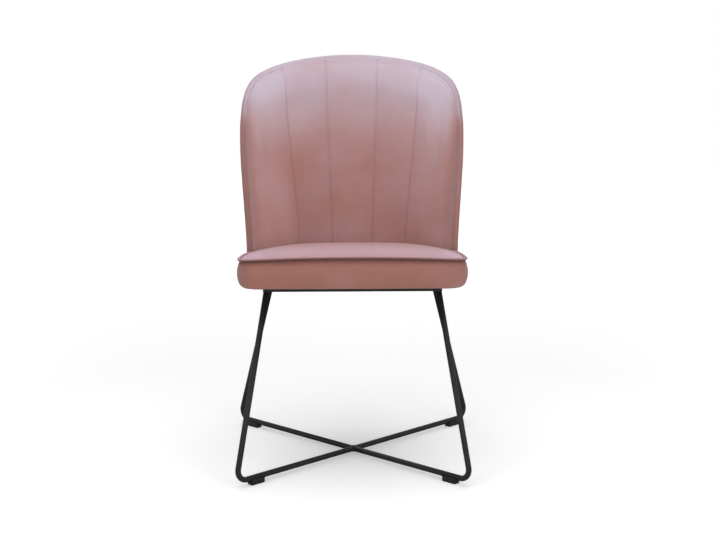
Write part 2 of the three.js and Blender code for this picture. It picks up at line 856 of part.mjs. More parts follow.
// The crowned top: rings drawn in towards the middle, with the step smoothed away
function addSeatTop() {
  const wall = seamAt(-piping_radius - fit_gap);
  const under_drop = band_top_drop - fit_gap;
  const rings = [
    seamRing(-band_thickness - fit_gap, under_drop),
    seamRing(-piping_radius - fit_gap, under_drop),
    seamRing(-piping_radius - fit_gap, 0),
  ];
  for (const share of crown_ring_shares) {
    const ring = smoothed(wall, Math.round((1 - share) * crown_smoothing_count));
    const drawn = ring.map((point) => point.clone().sub(seat_middle).multiplyScalar(share).add(seat_middle));
    const crown = seat_crown * Math.pow(1 - share * share, crown_roundness_share);
    rings.push(ringAt(drawn, (point) => seamHeight(point) + crown));
  }
  const middle = seamHeight(seat_middle);
  const tips = [middleAt(middle - under_drop), middleAt(middle + seat_crown)];
  add('seat_top_cushion', loft(rings, false, tips), velvet);
}

const foam_low = seat_underside_height + dust_cover_thickness + fit_gap + seat_board_thickness + fit_gap;
const board_low = seat_underside_height + dust_cover_thickness + fit_gap;
const board_high = board_low + seat_board_thickness;

function addSeatCore(board_holes, cover_holes) {
  const inner = seamAt(-band_thickness - fit_gap);
  const flat = (height) => ringAt(inner, () => height);
  const top = seamRing(-band_thickness - fit_gap, band_top_drop);
  const foam_tips = [middleAt(foam_low), middleAt(seamHeight(seat_middle) - band_top_drop)];
  add('seat_foam', loft([flat(foam_low), top], false, foam_tips), foam);
  const board_tips = [middleAt(board_low), middleAt(board_high)];
  const board = loft([flat(board_low), flat(board_high)], false, board_tips);
  add('seat_board', cut(board, ...board_holes), plywood);
  const cover_top = seat_underside_height + dust_cover_thickness;
  const cover = loft([flat(seat_underside_height), flat(cover_top)], false,
    [middleAt(seat_underside_height), middleAt(cover_top)]);
  add('seat_dust_cover', cut(cover, ...cover_holes), felt);
}

// Mounting frame, bolts and joining plates
const bar_ys = { front: legTop(true).y, rear: legTop(false).y };
const rail_low = mount_top - rail_thickness;
const bolt_radius = bolt_diameter / 2;
const hole_radius = bolt_radius + 2 * fit_gap;

function underWasher(clamped) {
  return clamped - fit_gap - washer_thickness;
}

function addCrossBar(name, front) {
  const { x, y } = legTop(front);
  const [end, half] = [x + rod_radius, cross_bar_width / 2];
  add(name, block(-end, end, y - half, y + half, cross_bar_low, mount_top), steel);
}

function addSideRail(name, side, bolt_ys) {
  const near = bar_ys.front + cross_bar_width / 2 + weld_gap;
  const far = bar_ys.rear - cross_bar_width / 2 - weld_gap;
  const x = side * rail_half_spacing;
  const half = rail_width / 2;
  const rail = block(x - half, x + half, near, far, rail_low, mount_top);
  const holes = bolt_ys.map((y) => upright(hole_radius, cross_bar_low, mount_top + cut_overrun, x, y));
  add(name, cut(rail, ...holes), steel);
}

// Bolt driven up from below, with its washer against the face that it clamps
function addBolt(name, x, y, clamped, tip) {
  const washer_low = underWasher(clamped);
  const shoulder = washer_low - fit_gap;
  const head_low = shoulder - bolt_head_height;
  const head = bolt_head_diameter / 2;
  add(name, turned([[0, head_low], [head, head_low], [head, shoulder], [bolt_radius, shoulder],
    [bolt_radius, tip], [0, tip]], x, y), zinc);
  const washer_top = washer_low + washer_thickness;
  const outer = washer_diameter / 2;
  add(name.replace('bolt', 'washer'), turned([[hole_radius, washer_low], [outer, washer_low],
    [outer, washer_top], [hole_radius, washer_top], [hole_radius, washer_low]], x, y), zinc);
}

const nut_top = board_high - fit_gap;
const nut_flange_low = nut_top - nut_flange_thickness;
const nut_barrel_low = nut_flange_low - nut_barrel_length;

function addNut(name, x, y) {
  const flange = nut_flange_diameter / 2;
  const barrel = nut_barrel_diameter / 2;
  add(name, turned([[hole_radius, nut_barrel_low], [barrel, nut_barrel_low], [barrel, nut_flange_low],
    [flange, nut_flange_low], [flange, nut_top], [hole_radius, nut_top],
    [hole_radius, nut_barrel_low]], x, y), zinc);
}

function nutHoles(x, y) {
  const barrel = nut_barrel_diameter / 2 + 2 * fit_gap;
  const flange = nut_flange_diameter / 2 + 2 * fit_gap;
  return [
    upright(barrel, board_low - cut_overrun, board_high + cut_overrun, x, y),
    upright(flange, nut_flange_low - fit_gap, board_high + cut_overrun, x, y),
  ];
}

const plate_top = mount_top;
const plate_low = plate_top - plate_thickness;
const screw_radius = screw_diameter / 2;
const screw_hole_radius = screw_radius + 2 * fit_gap;

function addScrew(name, x, y) {
  const shoulder = plate_low - fit_gap;
  const low = shoulder - screw_head_height;
  const head = screw_head_diameter / 2;
  const tip = seat_underside_height + screw_depth;
  add(name, turned([[0, low], [head, low], [head, shoulder], [screw_radius, shoulder],
    [screw_radius, tip], [0, tip]], x, y, screw_side_count), zinc);
}

function screwHole(x, y) {
  const high = seat_underside_height + screw_depth + fit_gap;
  return upright(screw_hole_radius, plate_low - cut_overrun, high, x, y);
}

// Tabs behind the rear cross bar, which carry the foot rail of the back
function addTab(name, x, y) {
  const near = bar_ys.rear + cross_bar_width / 2 + weld_gap;
  const half = rail_width / 2;
  const tab = block(x - half, x + half, near, y + tab_end_margin, rail_low, mount_top);
  add(name, cut(tab, upright(hole_radius, cross_bar_low, mount_top + cut_overrun, x, y)), steel);
}

// Screw places on the right: two in the seat board and two in the foot rail of the back
function plateScrews() {
  const y = (wing_setback + bar_ys.rear) / 2 - plate_width / 2;
  const ys = [y - plate_screw_spacing / 2, y + plate_screw_spacing / 2];
  return [
    ...ys.map((place) => [plate_seat_screw_x, place]),
    ...ys.map((place) => [railPointAtY(place).x, place]),
  ];
}

function addPlate(name, side, screws) {
  const xs = screws.map(([x]) => x);
  const ys = screws.map(([, y]) => y);
  const [near, far] = [Math.min(...xs) - plate_edge_margin, Math.max(...xs) + plate_edge_margin];
  const middle = (Math.min(...ys) + Math.max(...ys)) / 2;
  const plate = block(Math.min(side * near, side * far), Math.max(side * near, side * far),
    middle - plate_width / 2, middle + plate_width / 2, plate_low, plate_top);
  add(name, cut(plate, ...screws.map(([x, y]) => screwHole(side * x, y))), steel);
}

function addMounting() {
  const lag = railPointAtX(tab_half_spacing);
  const bolt_ys = [bar_ys.front + bolt_from_cross_bar, bar_ys.rear - bolt_from_cross_bar];
  const nut_places = bolt_ys.flatMap((y) => [-1, 1].map((side) => [side * rail_half_spacing, y]));
  const lag_places = [-1, 1].map((side) => [side * lag.x, lag.y]);
  const screws = plateScrews();
  const sides = { left: -1, right: 1 };
  addCrossBar('front_cross_bar', true);
  addCrossBar('rear_cross_bar', false);
  const names = ['front_left', 'front_right', 'rear_left', 'rear_right'];
  nut_places.forEach(([x, y], i) => {
    addBolt('seat_bolt_' + names[i], x, y, rail_low, nut_top - bolt_end_margin);
    addNut('seat_nut_' + names[i], x, y);
  });
  const lag_tip = seat_underside_height + lag_bolt_depth;
  for (const [name, side] of Object.entries(sides)) {
    addTab('rear_tab_' + name, side * lag.x, lag.y);
    addBolt('back_bolt_' + name, side * lag.x, lag.y, rail_low, lag_tip);
    addSideRail('side_rail_' + name, side, bolt_ys);
    addPlate('joining_plate_' + name, side, screws);
    screws.forEach(([x, y], i) => addScrew('plate_screw_' + name + '_' + (i + 1), side * x, y));
  }
  const screw_holes = [-1, 1].flatMap((side) => screws.map(([x, y]) => screwHole(side * x, y)));
  const board_holes = nut_places.flatMap(([x, y]) => nutHoles(x, y));
  const cover_holes = nut_places.map(([x, y]) =>
    upright(hole_radius, mount_top - cut_overrun, board_low, x, y));
  addSeatCore([...board_holes, ...screw_holes], [...cover_holes, ...screw_holes]);
  const lag_holes = lag_places.map(([x, y]) =>
    upright(hole_radius, mount_top - cut_overrun, lag_tip + fit_gap, x, y));
  addFootRail([...lag_holes, ...screw_holes]);
}

addRods();
addGlide('glide_front_left', true, -1);
addGlide('glide_front_right', true, 1);
addGlide('glide_rear_left', false, -1);
addGlide('glide_rear_right', false, 1);
addMounting();
addSeatBand();
addSeatPiping();
addSeatTop();
addBackPanels();
addRimRoll();

// The origin is under the middle of the chair's box, on the floor
const box = new THREE.Box3().setFromObject(chair, true);
chair.position.y = -(box.min.y + box.max.y) / 2;
chair.updateMatrixWorld(true);

export default chair;
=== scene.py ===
# Scallop back dining chair: channelled velvet tub back and welted cushion on a black rod frame.
# Metres, +Z up, -Y is the sitter's front. The camera, lights and floor come at the end.
import math
from bisect import bisect_left
from functools import lru_cache

import bmesh
import bpy
from mathutils import Matrix, Vector, noise


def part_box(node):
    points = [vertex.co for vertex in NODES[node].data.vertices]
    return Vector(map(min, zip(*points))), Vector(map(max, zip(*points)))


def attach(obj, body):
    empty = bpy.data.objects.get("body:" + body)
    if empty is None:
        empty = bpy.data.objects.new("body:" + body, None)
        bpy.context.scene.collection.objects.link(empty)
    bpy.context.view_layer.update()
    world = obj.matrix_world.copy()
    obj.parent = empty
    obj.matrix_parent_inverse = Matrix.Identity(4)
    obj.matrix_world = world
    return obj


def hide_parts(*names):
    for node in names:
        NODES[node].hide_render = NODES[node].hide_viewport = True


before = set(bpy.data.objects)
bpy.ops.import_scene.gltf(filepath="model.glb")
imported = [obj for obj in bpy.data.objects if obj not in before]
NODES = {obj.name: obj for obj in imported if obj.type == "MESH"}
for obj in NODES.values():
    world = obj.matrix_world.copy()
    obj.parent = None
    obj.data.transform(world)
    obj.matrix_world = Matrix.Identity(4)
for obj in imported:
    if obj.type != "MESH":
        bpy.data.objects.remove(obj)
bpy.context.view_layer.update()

scene = bpy.context.scene

# Rod frame
ROD_RADIUS = 0.006
ROD_BEND_RADIUS = 0.022
ROD_SIDES = 24
BEND_STEPS = 14
FRONT_CORNER_HALF_SPACING = 0.2395
REAR_CORNER_HALF_SPACING = 0.279
CORNER_DEPTH_SPACING = 0.488
FRONT_LEG_RUN = 0.0872
REAR_LEG_RUN = 0.1346
GLIDE_HEIGHT = 0.008
WELD_BEAD_RADIUS = 0.0017
WELD_RIPPLES_PER_METRE = 400
WELD_STEPS = 28
WELD_SIDES = 8
WELD_UNEVENNESS = 0.3
LEG_OVERRUN = 2 * ROD_RADIUS

# Inside and under the seat
FOAM_EDGE = 0.003
STAPLE_COUNT = 44
STAPLE_MARGIN = 0.006
STAPLE_WIDTH = 0.010
STAPLE_WIRE = 0.0005
STEEL_EDGE = 0.0005
NYLON_EDGE = 0.002
CLOTH_EDGE = 0.0002

# Seat
SEAT_BAND_HEIGHT = 0.0655
SEAT_REAR_DROP = 0.024
SEAT_CORNER_DROOP = 0.0068
SEAT_CORNER_DROOP_POWER = 2.4
SIDE_DROOP_SHARE = 0.4
CORNER_DEPTHS = (0.02, 0.13)
SEAT_CROWN_POWER = 0.36
SEAT_START_CROWN = 0.0072
SEAT_FRONT_SETBACK = 0.009
SEAT_FRONT_BOW = 0.003
SEAT_HALF_WIDTH = 0.232
SEAT_SIDE_TAPER = 0.007
SEAT_CORNER_RADIUS = 0.045
PIPING_RADIUS = 0.003
SOFT_GAP = 0.001
BAND_THICKNESS = 0.008
BAND_START_BULGE = 0.0061
BAND_DRAW_IN = 0.0025
BAND_FOOT_RADIUS = 0.011
BAND_FOOT_TURN_SHARE = 0.45
REAR_EDGE_MARGIN = 0.0015

# Back: outline of its outer face
BACK_RISE = 0.4215
SHOULDER_RISE = 0.2665
SHOULDER_HALF_WIDTH = 0.2555
SHOULDER_SETBACK = 0.3635
SHOULDER_EASE = 0.030
WING_BASE_HALF_WIDTH = 0.2288
WING_SETBACK = 0.192
BASE_REAR_SETBACK = 0.479
TOP_REAR_SETBACK = 0.541
BASE_SQUARENESS = 3.1
TOP_SQUARENESS = 2.25
ARCH_CROWN_POWER = 1.7
ARCH_SIDE_POWER = 4.4
WING_SWEEPS = (0.3, 0.95)
FLARES = (0.06, 0.05)
RECLINES = (0.02, 0.2)

# Back: layers from the outer face inwards
RIM_THICKNESS = 0.014
RIM_DEPTH = 0.012
SEWN_GAP = 0.0003
REAR_COVER_THICKNESS = 0.003
PAD_OUTER_DEPTH = 0.0101
BACK_MID_THICKNESS = 0.044
PAD_EDGE_DIP = 0.0004
PAD_SIDE_SWELL_SHARE = 0.5
PAD_TOP_SWELL_SHARE = 0.3
PAD_SOFT_START = 0.35
CHANNEL_CROWN = 0.006
WING_CROWN = 0.0025
FILLED_CROWN_SHARE = 0.95
CHANNEL_SQUARENESS = 2.4
SEAM_FEET = (0.215, 0.645)
SEAM_TOPS = (0.255, 0.68)
SEAM_PLACES = (3 / 16, 9 / 16)
WING_FRONT_PLACE = 15 / 16
RISE_EASE = 0.5
COLUMN_EASE = 0.6
SLOPE_PROBE = 0.001
PLAN_SAMPLES = 200

# Mesh counts of the velvet pieces
CHANNEL_COLUMNS = 16
WING_COLUMNS = 22
PAD_COLUMNS = 3 * CHANNEL_COLUMNS + 2 * WING_COLUMNS
PAD_ROWS = 84
COVER_COLUMNS = 96
COVER_ROWS = 64
SEAT_GRID_STEPS = 76
OUTLINE_STEPS = 260
BAND_ROWS = 18
PIPING_SIDES = 14
ROLL_SECTION_STEPS = 18
ROLL_FLAT_STEPS = 2
ROLL_WING_STATIONS = 60
ROLL_ARCH_STATIONS = 140
ROLL_FOOT_STATIONS = 4
FRONT_EDGE_STEPS = 30
REAR_EDGE_STEPS = 120
CORNER_STEPS = 24
SIDE_STEPS = 20
STEP_TURN_STEPS = 12
SEAM_SMOOTHING = 3
SOFT_SMOOTHING = 400
FILL_FRAMES = 20

# Heights that the frame gives
seat_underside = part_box("seat_side_band")[0].z
leg_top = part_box("frame_rod_through")[1].z
foot_rail_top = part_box("back_front_pad")[0].z
SEAT_SEAM_HEIGHT = seat_underside + SEAT_BAND_HEIGHT
SHOULDER_HEIGHT = SEAT_SEAM_HEIGHT + SHOULDER_RISE
# Setbacks are measured from the line through the front corners of the floor bars
datum_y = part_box("seat_piping")[0].y - (SEAT_FRONT_SETBACK - PIPING_RADIUS)


# Small helpers

def clamp(value, low=0.0, high=1.0):
    return min(max(value, low), high)


def lerp(start, end, share):
    return start + (end - start) * share


def smoothstep(value, low, high):
    share = clamp((value - low) / (high - low))
    return share * share * (3 - 2 * share)


def fade(value, low, high):
    """1 up to the low value, and smoothly down to 0 at the high one."""
    return 1 - smoothstep(value, low, high)


def bell(value, middle, spread):
    return math.exp(-((value - middle) / spread) ** 2)


def eased(share, ease):
    """Crowds evenly spaced shares towards 1."""
    return lerp(share, math.sin(math.pi / 2 * share), ease)


def round_share(value):
    """Drops the noise of sums, so that a share can be looked up."""
    return round(value, 6)


def hermite(start, end, slopes, share, length):
    t = clamp(share)
    return ((2 * t**3 - 3 * t**2 + 1) * start + (t**3 - 2 * t**2 + t) * slopes[0] * length
            + (3 * t**2 - 2 * t**3) * end + (t**3 - t**2) * slopes[1] * length)


def running_lengths(points):
    lengths = [0.0]
    for near, far in zip(points, points[1:]):
        lengths.append(lengths[-1] + (far - near).length)
    return lengths


def segment_at(lengths, target):
    """The point that ends the segment where a length falls, and the share of the way along it."""
    i = min(bisect_left(lengths, target, 1), len(lengths) - 1)
    return i, clamp((target - lengths[i - 1]) / (lengths[i] - lengths[i - 1]))


def in_place(point):
    """A point measured from the front corners' line, moved into the chair's frame."""
    return Vector((point[0], point[1] + datum_y, point[2]))


MERGE_DISTANCE = 1e-5
FINE_MERGE_DISTANCE = 1e-6
PLACE_LAYERS = ("across", "up", "front")
# Layers of painted colour: sheen on the pile, painted shade at seams and wherever shade falls, and painted
# light, which on the seat band is a warmer tint at the foot
SHADE_LAYERS = ("nap", "seam", "bright")


def place_layers(bm):
    return [bm.verts.layers.float[name] for name in PLACE_LAYERS]


def linked(name, data):
    item = bpy.data.objects.new(name, data)
    scene.collection.objects.link(item)
    return item


def merged(bm, distance=MERGE_DISTANCE):
    bmesh.ops.remove_doubles(bm, verts=bm.verts[:], dist=distance)


def ends_closed(bm):
    bmesh.ops.holes_fill(bm, edges=[edge for edge in bm.edges if edge.is_boundary], sides=0)


def mapped_grid(across_steps, up_steps, place):
    """Grid of faces whose corners are placed by two shares, across from -1 to 1 and up from 0 to 1."""
    bm = bmesh.new()
    bmesh.ops.create_grid(bm, x_segments=across_steps, y_segments=up_steps, size=1)
    for name in PLACE_LAYERS + SHADE_LAYERS:
        bm.verts.layers.float.new(name)
    across_layer, up_layer, front_layer = place_layers(bm)
    for vert in bm.verts:
        vert[front_layer] = 1
        across, up = round_share(vert.co.x), round_share((vert.co.y + 1) / 2)
        vert[across_layer], vert[up_layer] = across, up
        vert.co = place(across, up)
    return bm


def thickened(bm, place_back):
    """Closes an open grid with a second face behind it, placed by the same two shares."""
    across_layer, up_layer, front_layer = place_layers(bm)
    extruded = bmesh.ops.extrude_face_region(bm, geom=bm.faces[:])
    for vert in extruded["geom"]:
        if isinstance(vert, bmesh.types.BMVert):
            vert.co = place_back(round_share(vert[across_layer]), round_share(vert[up_layer]))
            vert[front_layer] = 0
    return bm


def painted(bm, **shades):
    """Writes shades from 0 to 1 on every corner, which the velvet reads by the layers' names."""
    for name, shade in shades.items():
        layer = bm.verts.layers.float[name]
        for vert in bm.verts:
            vert[layer] = clamp(shade(vert))


def filled(bm, is_sewn, slack, cap):
    """Lets a closed cover fill out under pressure, held where it is sewn; slack is a share of its lengths."""
    bmesh.ops.recalc_face_normals(bm, faces=bm.faces[:])
    bm.verts.index_update()
    mesh = bpy.data.meshes.new("cover")
    bm.to_mesh(mesh)
    cover = linked("cover", mesh)
    sewn = cover.vertex_groups.new(name="sewn")
    sewn.add([vert.index for vert in bm.verts if is_sewn(vert)], 1.0, "REPLACE")
    cloth = cover.modifiers.new("filling", "CLOTH")
    settings = cloth.settings
    settings.quality = 5
    settings.mass = 0.3
    settings.tension_stiffness = settings.compression_stiffness = 15
    settings.shear_stiffness = 5
    settings.bending_stiffness = 0.5
    settings.use_pressure = True
    settings.uniform_pressure_force = 4
    settings.vertex_group_mass = "sewn"
    settings.shrink_min = -slack
    settings.effector_weights.gravity = 0
    cloth.collision_settings.use_collision = False
    cloth.point_cache.frame_start, cloth.point_cache.frame_end = 1, FILL_FRAMES
    for frame_number in range(1, FILL_FRAMES + 1):
        scene.frame_set(frame_number)
    result = cover.evaluated_get(bpy.context.evaluated_depsgraph_get()).data
    for vert in bm.verts:
        move = result.vertices[vert.index].co - vert.co
        if move.length > 0:
            vert.co += move.normalized() * cap * math.tanh(move.length / cap)
    scene.frame_set(1)
    bpy.data.objects.remove(cover)
    bpy.data.meshes.remove(mesh)


def piece_from(bm, name, material, subdivide=0, fold_angle=None):
    """Makes the piece; where its faces turn by more than the fold angle, its edge stays sharp."""
    bmesh.ops.recalc_face_normals(bm, faces=bm.faces[:])
    if fold_angle:
        crease = bm.edges.layers.float.new("crease_edge")
        for edge in bm.edges:
            if edge.is_manifold and edge.calc_face_angle(0) > math.radians(fold_angle):
                edge[crease] = 1
                edge.smooth = False
    for layer_name in PLACE_LAYERS:
        if layer_name in bm.verts.layers.float.keys():
            bm.verts.layers.float.remove(bm.verts.layers.float[layer_name])
    mesh = bpy.data.meshes.new(name)
    bm.to_mesh(mesh)
    bm.free()
    mesh.shade_smooth()
    mesh.materials.append(material)
    piece = linked(name, mesh)
    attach(piece, "root")
    if subdivide:
        modifier = piece.modifiers.new("smooth surface", "SUBSURF")
        modifier.levels = modifier.render_levels = subdivide
    return piece


# Materials

def new_material(name):
    material = bpy.data.materials.new(name)
    material.use_nodes = True
    return material, material.node_tree, material.node_tree.nodes["Principled BSDF"]


def object_noise(tree, scale, detail=2.0, stretch=(1, 1, 1)):
    """Noise on the piece's own coordinates; scale is in cells per metre."""
    place = tree.nodes.new("ShaderNodeTexCoord")
    mapping = tree.nodes.new("ShaderNodeMapping")
    mapping.inputs["Scale"].default_value = stretch
    texture = tree.nodes.new("ShaderNodeTexNoise")
    texture.inputs["Scale"].default_value = scale
    texture.inputs["Detail"].default_value = detail
    tree.links.new(place.outputs["Object"], mapping.inputs["Vector"])
    tree.links.new(mapping.outputs["Vector"], texture.inputs["Vector"])
    return texture.outputs["Fac"]


def ranged(tree, value, from_low, from_high, to_low=0.0, to_high=1.0):
    node = tree.nodes.new("ShaderNodeMapRange")
    ends = {"From Min": from_low, "From Max": from_high, "To Min": to_low, "To Max": to_high}
    for name, end in ends.items():
        node.inputs[name].default_value = end
    tree.links.new(value, node.inputs["Value"])
    return node.outputs["Result"]


def mixed(tree, factor, first, second):
    """Colour between two; each is a socket or a colour."""
    node = tree.nodes.new("ShaderNodeMix")
    node.data_type = "RGBA"
    sockets = [s for s in node.inputs if s.type == "RGBA"]
    for socket, colour in zip(sockets, (first, second)):
        if isinstance(colour, tuple):
            socket.default_value = (*colour, 1)
        else:
            tree.links.new(colour, socket)
    tree.links.new(factor, node.inputs["Factor"])
    return [s for s in node.outputs if s.type == "RGBA"][0]


def combined(tree, operation, first, second):
    node = tree.nodes.new("ShaderNodeMath")
    node.operation = operation
    for socket, value in zip(node.inputs, (first, second)):
        if isinstance(value, (int, float)):
            socket.default_value = value
        else:
            tree.links.new(value, socket)
    return node.outputs["Value"]


def bumped(tree, shader, height, strength, distance):
    node = tree.nodes.new("ShaderNodeBump")
    node.inputs["Strength"].default_value = strength
    node.inputs["Distance"].default_value = distance
    tree.links.new(height, node.inputs["Height"])
    tree.links.new(node.outputs["Normal"], shader.inputs["Normal"])


NOISE_SPAN = (0.3, 0.7)


def plain_finish(name, tones, grain, roughness, bump=None, bump_span=(0, 1), tone_grain=None, specular=0.5,
                 metallic=0.0):
    """Material whose colour wanders between two tones; a pair of roughnesses is wandered between too."""
    material, tree, shader = new_material(name)
    fine = object_noise(tree, *grain)
    broad = object_noise(tree, *tone_grain) if tone_grain else fine
    tree.links.new(mixed(tree, ranged(tree, broad, *NOISE_SPAN), *tones), shader.inputs["Base Color"])
    shader.inputs["Specular IOR Level"].default_value = specular
    shader.inputs["Metallic"].default_value = metallic
    if isinstance(roughness, tuple):
        tree.links.new(ranged(tree, fine, *NOISE_SPAN, *roughness), shader.inputs["Roughness"])
    else:
        shader.inputs["Roughness"].default_value = roughness
    if bump:
        bumped(tree, shader, ranged(tree, fine, *bump_span), *bump)
    return material


# Velvet colours: the lilacs are painted sheen, the lit rose and lilac are painted light, the seam shadow is
# painted shade, and the band's foot rose is a warmer tint
ROSE = (0.350, 0.174, 0.150)
ROSE_DEEP = (0.322, 0.154, 0.132)
PAINTED_LIGHT_ROSE = (0.520, 0.275, 0.240)
SHEEN_LILAC = (0.450, 0.372, 0.440)
PAINTED_LIGHT_LILAC = (0.600, 0.500, 0.590)
SEAT_SHEEN_LILAC = (0.468, 0.314, 0.394)
BAND_ROSE = (0.313, 0.138, 0.109)
BAND_ROSE_DEEP = (0.298, 0.129, 0.101)
BAND_FOOT_ROSE = (0.309, 0.137, 0.097)
SEAM_SHADOW = (0.150, 0.058, 0.050)
MOTTLE = 0.1
COAT_TONES = ((0.008, 0.008, 0.0085), (0.013, 0.013, 0.0135))
NYLON_TONES = ((0.007, 0.007, 0.007), (0.012, 0.012, 0.012))
ZINC_TONES = ((0.50, 0.51, 0.53), (0.62, 0.62, 0.60))
BIRCH_TONES = ((0.52, 0.35, 0.19), (0.66, 0.48, 0.29))
FOAM_TONES = ((0.72, 0.64, 0.42), (0.85, 0.78, 0.58))
DUST_CLOTH_TONES = ((0.008, 0.008, 0.009), (0.030, 0.030, 0.032))


def dusty_pink_velvet(name, rose, deep_rose, bright_rose, lilac):
    """Velvet with painted light in its colour: painted sheen turns it from rose to lilac, painted light lifts
    either, and painted shade darkens it.
    """
    material, tree, shader = new_material(name)
    mottle = ranged(tree, object_noise(tree, scale=11, detail=3), *NOISE_SPAN, -MOTTLE, MOTTLE)
    brushed = ranged(tree, object_noise(tree, scale=55, detail=3, stretch=(1, 1, 0.3)), *NOISE_SPAN)
    pile = object_noise(tree, scale=2600, detail=1)
    ground = mixed(tree, combined(tree, "MULTIPLY", brushed, 0.5), rose, deep_rose)
    lit = mixed(tree, piece_shade(tree, "bright"), ground, bright_rose)
    nap = combined(tree, "ADD", piece_shade(tree, "nap"), mottle)
    pale = mixed(tree, piece_shade(tree, "bright"), lilac, PAINTED_LIGHT_LILAC)
    sheened = mixed(tree, ranged(tree, nap, 0, 1), lit, pale)
    # Painted shade: the seam layer darkens the colour at seams and wherever shade falls
    colour = mixed(tree, piece_shade(tree, "seam"), sheened, SEAM_SHADOW)
    tree.links.new(colour, shader.inputs["Base Color"])
    shader.inputs["Roughness"].default_value = 0.85
    shader.inputs["Specular IOR Level"].default_value = 0.15
    shader.inputs["Sheen Weight"].default_value = 0.3
    shader.inputs["Sheen Roughness"].default_value = 0.5
    shader.inputs["Sheen Tint"].default_value = (0.95, 0.82, 0.88, 1)
    bumped(tree, shader, combined(tree, "ADD", pile, brushed), strength=0.22, distance=0.0003)
    return material


def piece_shade(tree, name):
    node = tree.nodes.new("ShaderNodeAttribute")
    node.attribute_name = name
    return node.outputs["Fac"]


velvet = dusty_pink_velvet("dusty pink velvet", ROSE, ROSE_DEEP, PAINTED_LIGHT_ROSE, SHEEN_LILAC)
seat_velvet = dusty_pink_velvet("seat top velvet", ROSE, ROSE_DEEP, PAINTED_LIGHT_ROSE, SEAT_SHEEN_LILAC)
# On the seat band the painted-light layer gives a warmer tint toward the foot instead of light
band_velvet = dusty_pink_velvet("seat band velvet", BAND_ROSE, BAND_ROSE_DEEP, BAND_FOOT_ROSE, SHEEN_LILAC)
# A grain is a noise's scale and detail, and a bump is its strength and distance
powder_coat = plain_finish("black powder coat", COAT_TONES, grain=(900, 2), roughness=(0.42, 0.55),
                           bump=(0.2, 0.0002), tone_grain=(25, 3), specular=0.2)
nylon = plain_finish("black nylon", NYLON_TONES, grain=(1400, 2), roughness=0.5, bump=(0.3, 0.0002),
                     specular=0.2)
zinc = plain_finish("zinc plate", ZINC_TONES, grain=(300, 3), roughness=(0.28, 0.42), metallic=1)
plywood = plain_finish("birch plywood", BIRCH_TONES, grain=(40, 5, (1, 8, 8)), roughness=0.65,
                       bump=(0.2, 0.0003), bump_span=NOISE_SPAN)
foam = plain_finish("seat foam", FOAM_TONES, grain=(800, 4), roughness=0.95, bump=(0.5, 0.0005))
dust_cloth = plain_finish("black dust cloth", DUST_CLOTH_TONES, grain=(1100, 3), roughness=0.9,
                          bump=(0.4, 0.0003))


# Outline of the back's outer face

def sweep_share(z):
    return (z - SEAT_SEAM_HEIGHT) / SHOULDER_RISE


def rear_setback(z):
    share = (z - SEAT_SEAM_HEIGHT) / BACK_RISE
    return hermite(BASE_REAR_SETBACK, TOP_REAR_SETBACK, RECLINES, share, BACK_RISE)


def wing_setback(z):
    """Front line of the wings; over the shoulder it eases into the slope of the back."""
    past = max(z - SHOULDER_HEIGHT, 0)
    sweep = WING_SWEEPS[1] * SHOULDER_EASE * (1 - math.exp(-past / SHOULDER_EASE))
    lean = rear_setback(z) - rear_setback(SHOULDER_HEIGHT) if past else 0
    return hermite(WING_SETBACK, SHOULDER_SETBACK, WING_SWEEPS, sweep_share(z), SHOULDER_RISE) + sweep + lean


def outer_half_width(z):
    return hermite(WING_BASE_HALF_WIDTH, SHOULDER_HALF_WIDTH, FLARES, sweep_share(z), SHOULDER_RISE)


def squareness(z):
    return lerp(BASE_SQUARENESS, TOP_SQUARENESS, smoothstep(sweep_share(z), 0, 1))


def outer_point(share, z):
    power = squareness(z)
    reach = max(1 - abs(share) ** power, 0) ** (1 / power)
    front = wing_setback(z)
    return Vector((share * outer_half_width(z), front + (rear_setback(z) - front) * reach, z))


def reach_of(point):
    """One on the outer face, less inside it."""
    power = squareness(point.z)
    front = wing_setback(point.z)
    back = max(point.y - front, 0) / (rear_setback(point.z) - front)
    return ((abs(point.x) / outer_half_width(point.z)) ** power + back ** power) ** (1 / power)


def onto_outer_face(point):
    front = wing_setback(point.z)
    scale = 1 / reach_of(point)
    return Vector((point.x * scale, front + max(point.y - front, 0) * scale, point.z))


def outward(point):
    slopes = []
    for axis in (Vector((1, 0, 0)), Vector((0, 1, 0)), Vector((0, 0, 1))):
        step = axis * SLOPE_PROBE
        slopes.append(reach_of(point + step) - reach_of(point - step))
    return Vector(slopes).normalized()


def arch_height(share):
    left = max(1 - abs(share) ** ARCH_CROWN_POWER, 0)
    return SHOULDER_HEIGHT + (BACK_RISE - SHOULDER_RISE) * left ** (1 / ARCH_SIDE_POWER)


@lru_cache(maxsize=None)
def wing_table(z, seam):
    """Shares from the outer seam to the wing's edge, with their lengths along the plan."""
    shares = [1 - (1 - seam) * (1 - i / PLAN_SAMPLES) ** 2 for i in range(PLAN_SAMPLES + 1)]
    return shares, running_lengths([outer_point(share, z) for share in shares])


def wing_share(z, seam, along):
    shares, lengths = wing_table(z, seam)
    i, part = segment_at(lengths, along * lengths[-1])
    return lerp(shares[i - 1], shares[i], part)


def zone_of(place):
    """Zone between sewn lines that a place lies in: its start, its end, and the share of the way along it."""
    inner, outer = SEAM_PLACES
    start, end = (outer, 1) if place > outer else (inner, outer) if place > inner else (0, inner)
    return start, end, (place - start) / (end - start)


def column_share(across, seams, z):
    """Share of the half width at a signed place across: seams lie at their own places, edges at one."""
    start, end, along = zone_of(abs(across))
    if end == 1:
        share = wing_share(z, seams[1], along)
    else:
        share = lerp(seams[0] if start else 0, seams[1] if start else seams[0], along)
    return math.copysign(share, across)


@lru_cache(maxsize=None)
def back_point(across, up):
    top_share = column_share(across, SEAM_TOPS, SHOULDER_HEIGHT)
    foot_share = column_share(across, SEAM_FEET, seat_underside)
    rise = eased(up, RISE_EASE)
    return outer_point(lerp(foot_share, top_share, rise), lerp(foot_rail_top, arch_height(top_share), rise))


RIM_STEP = 0.004


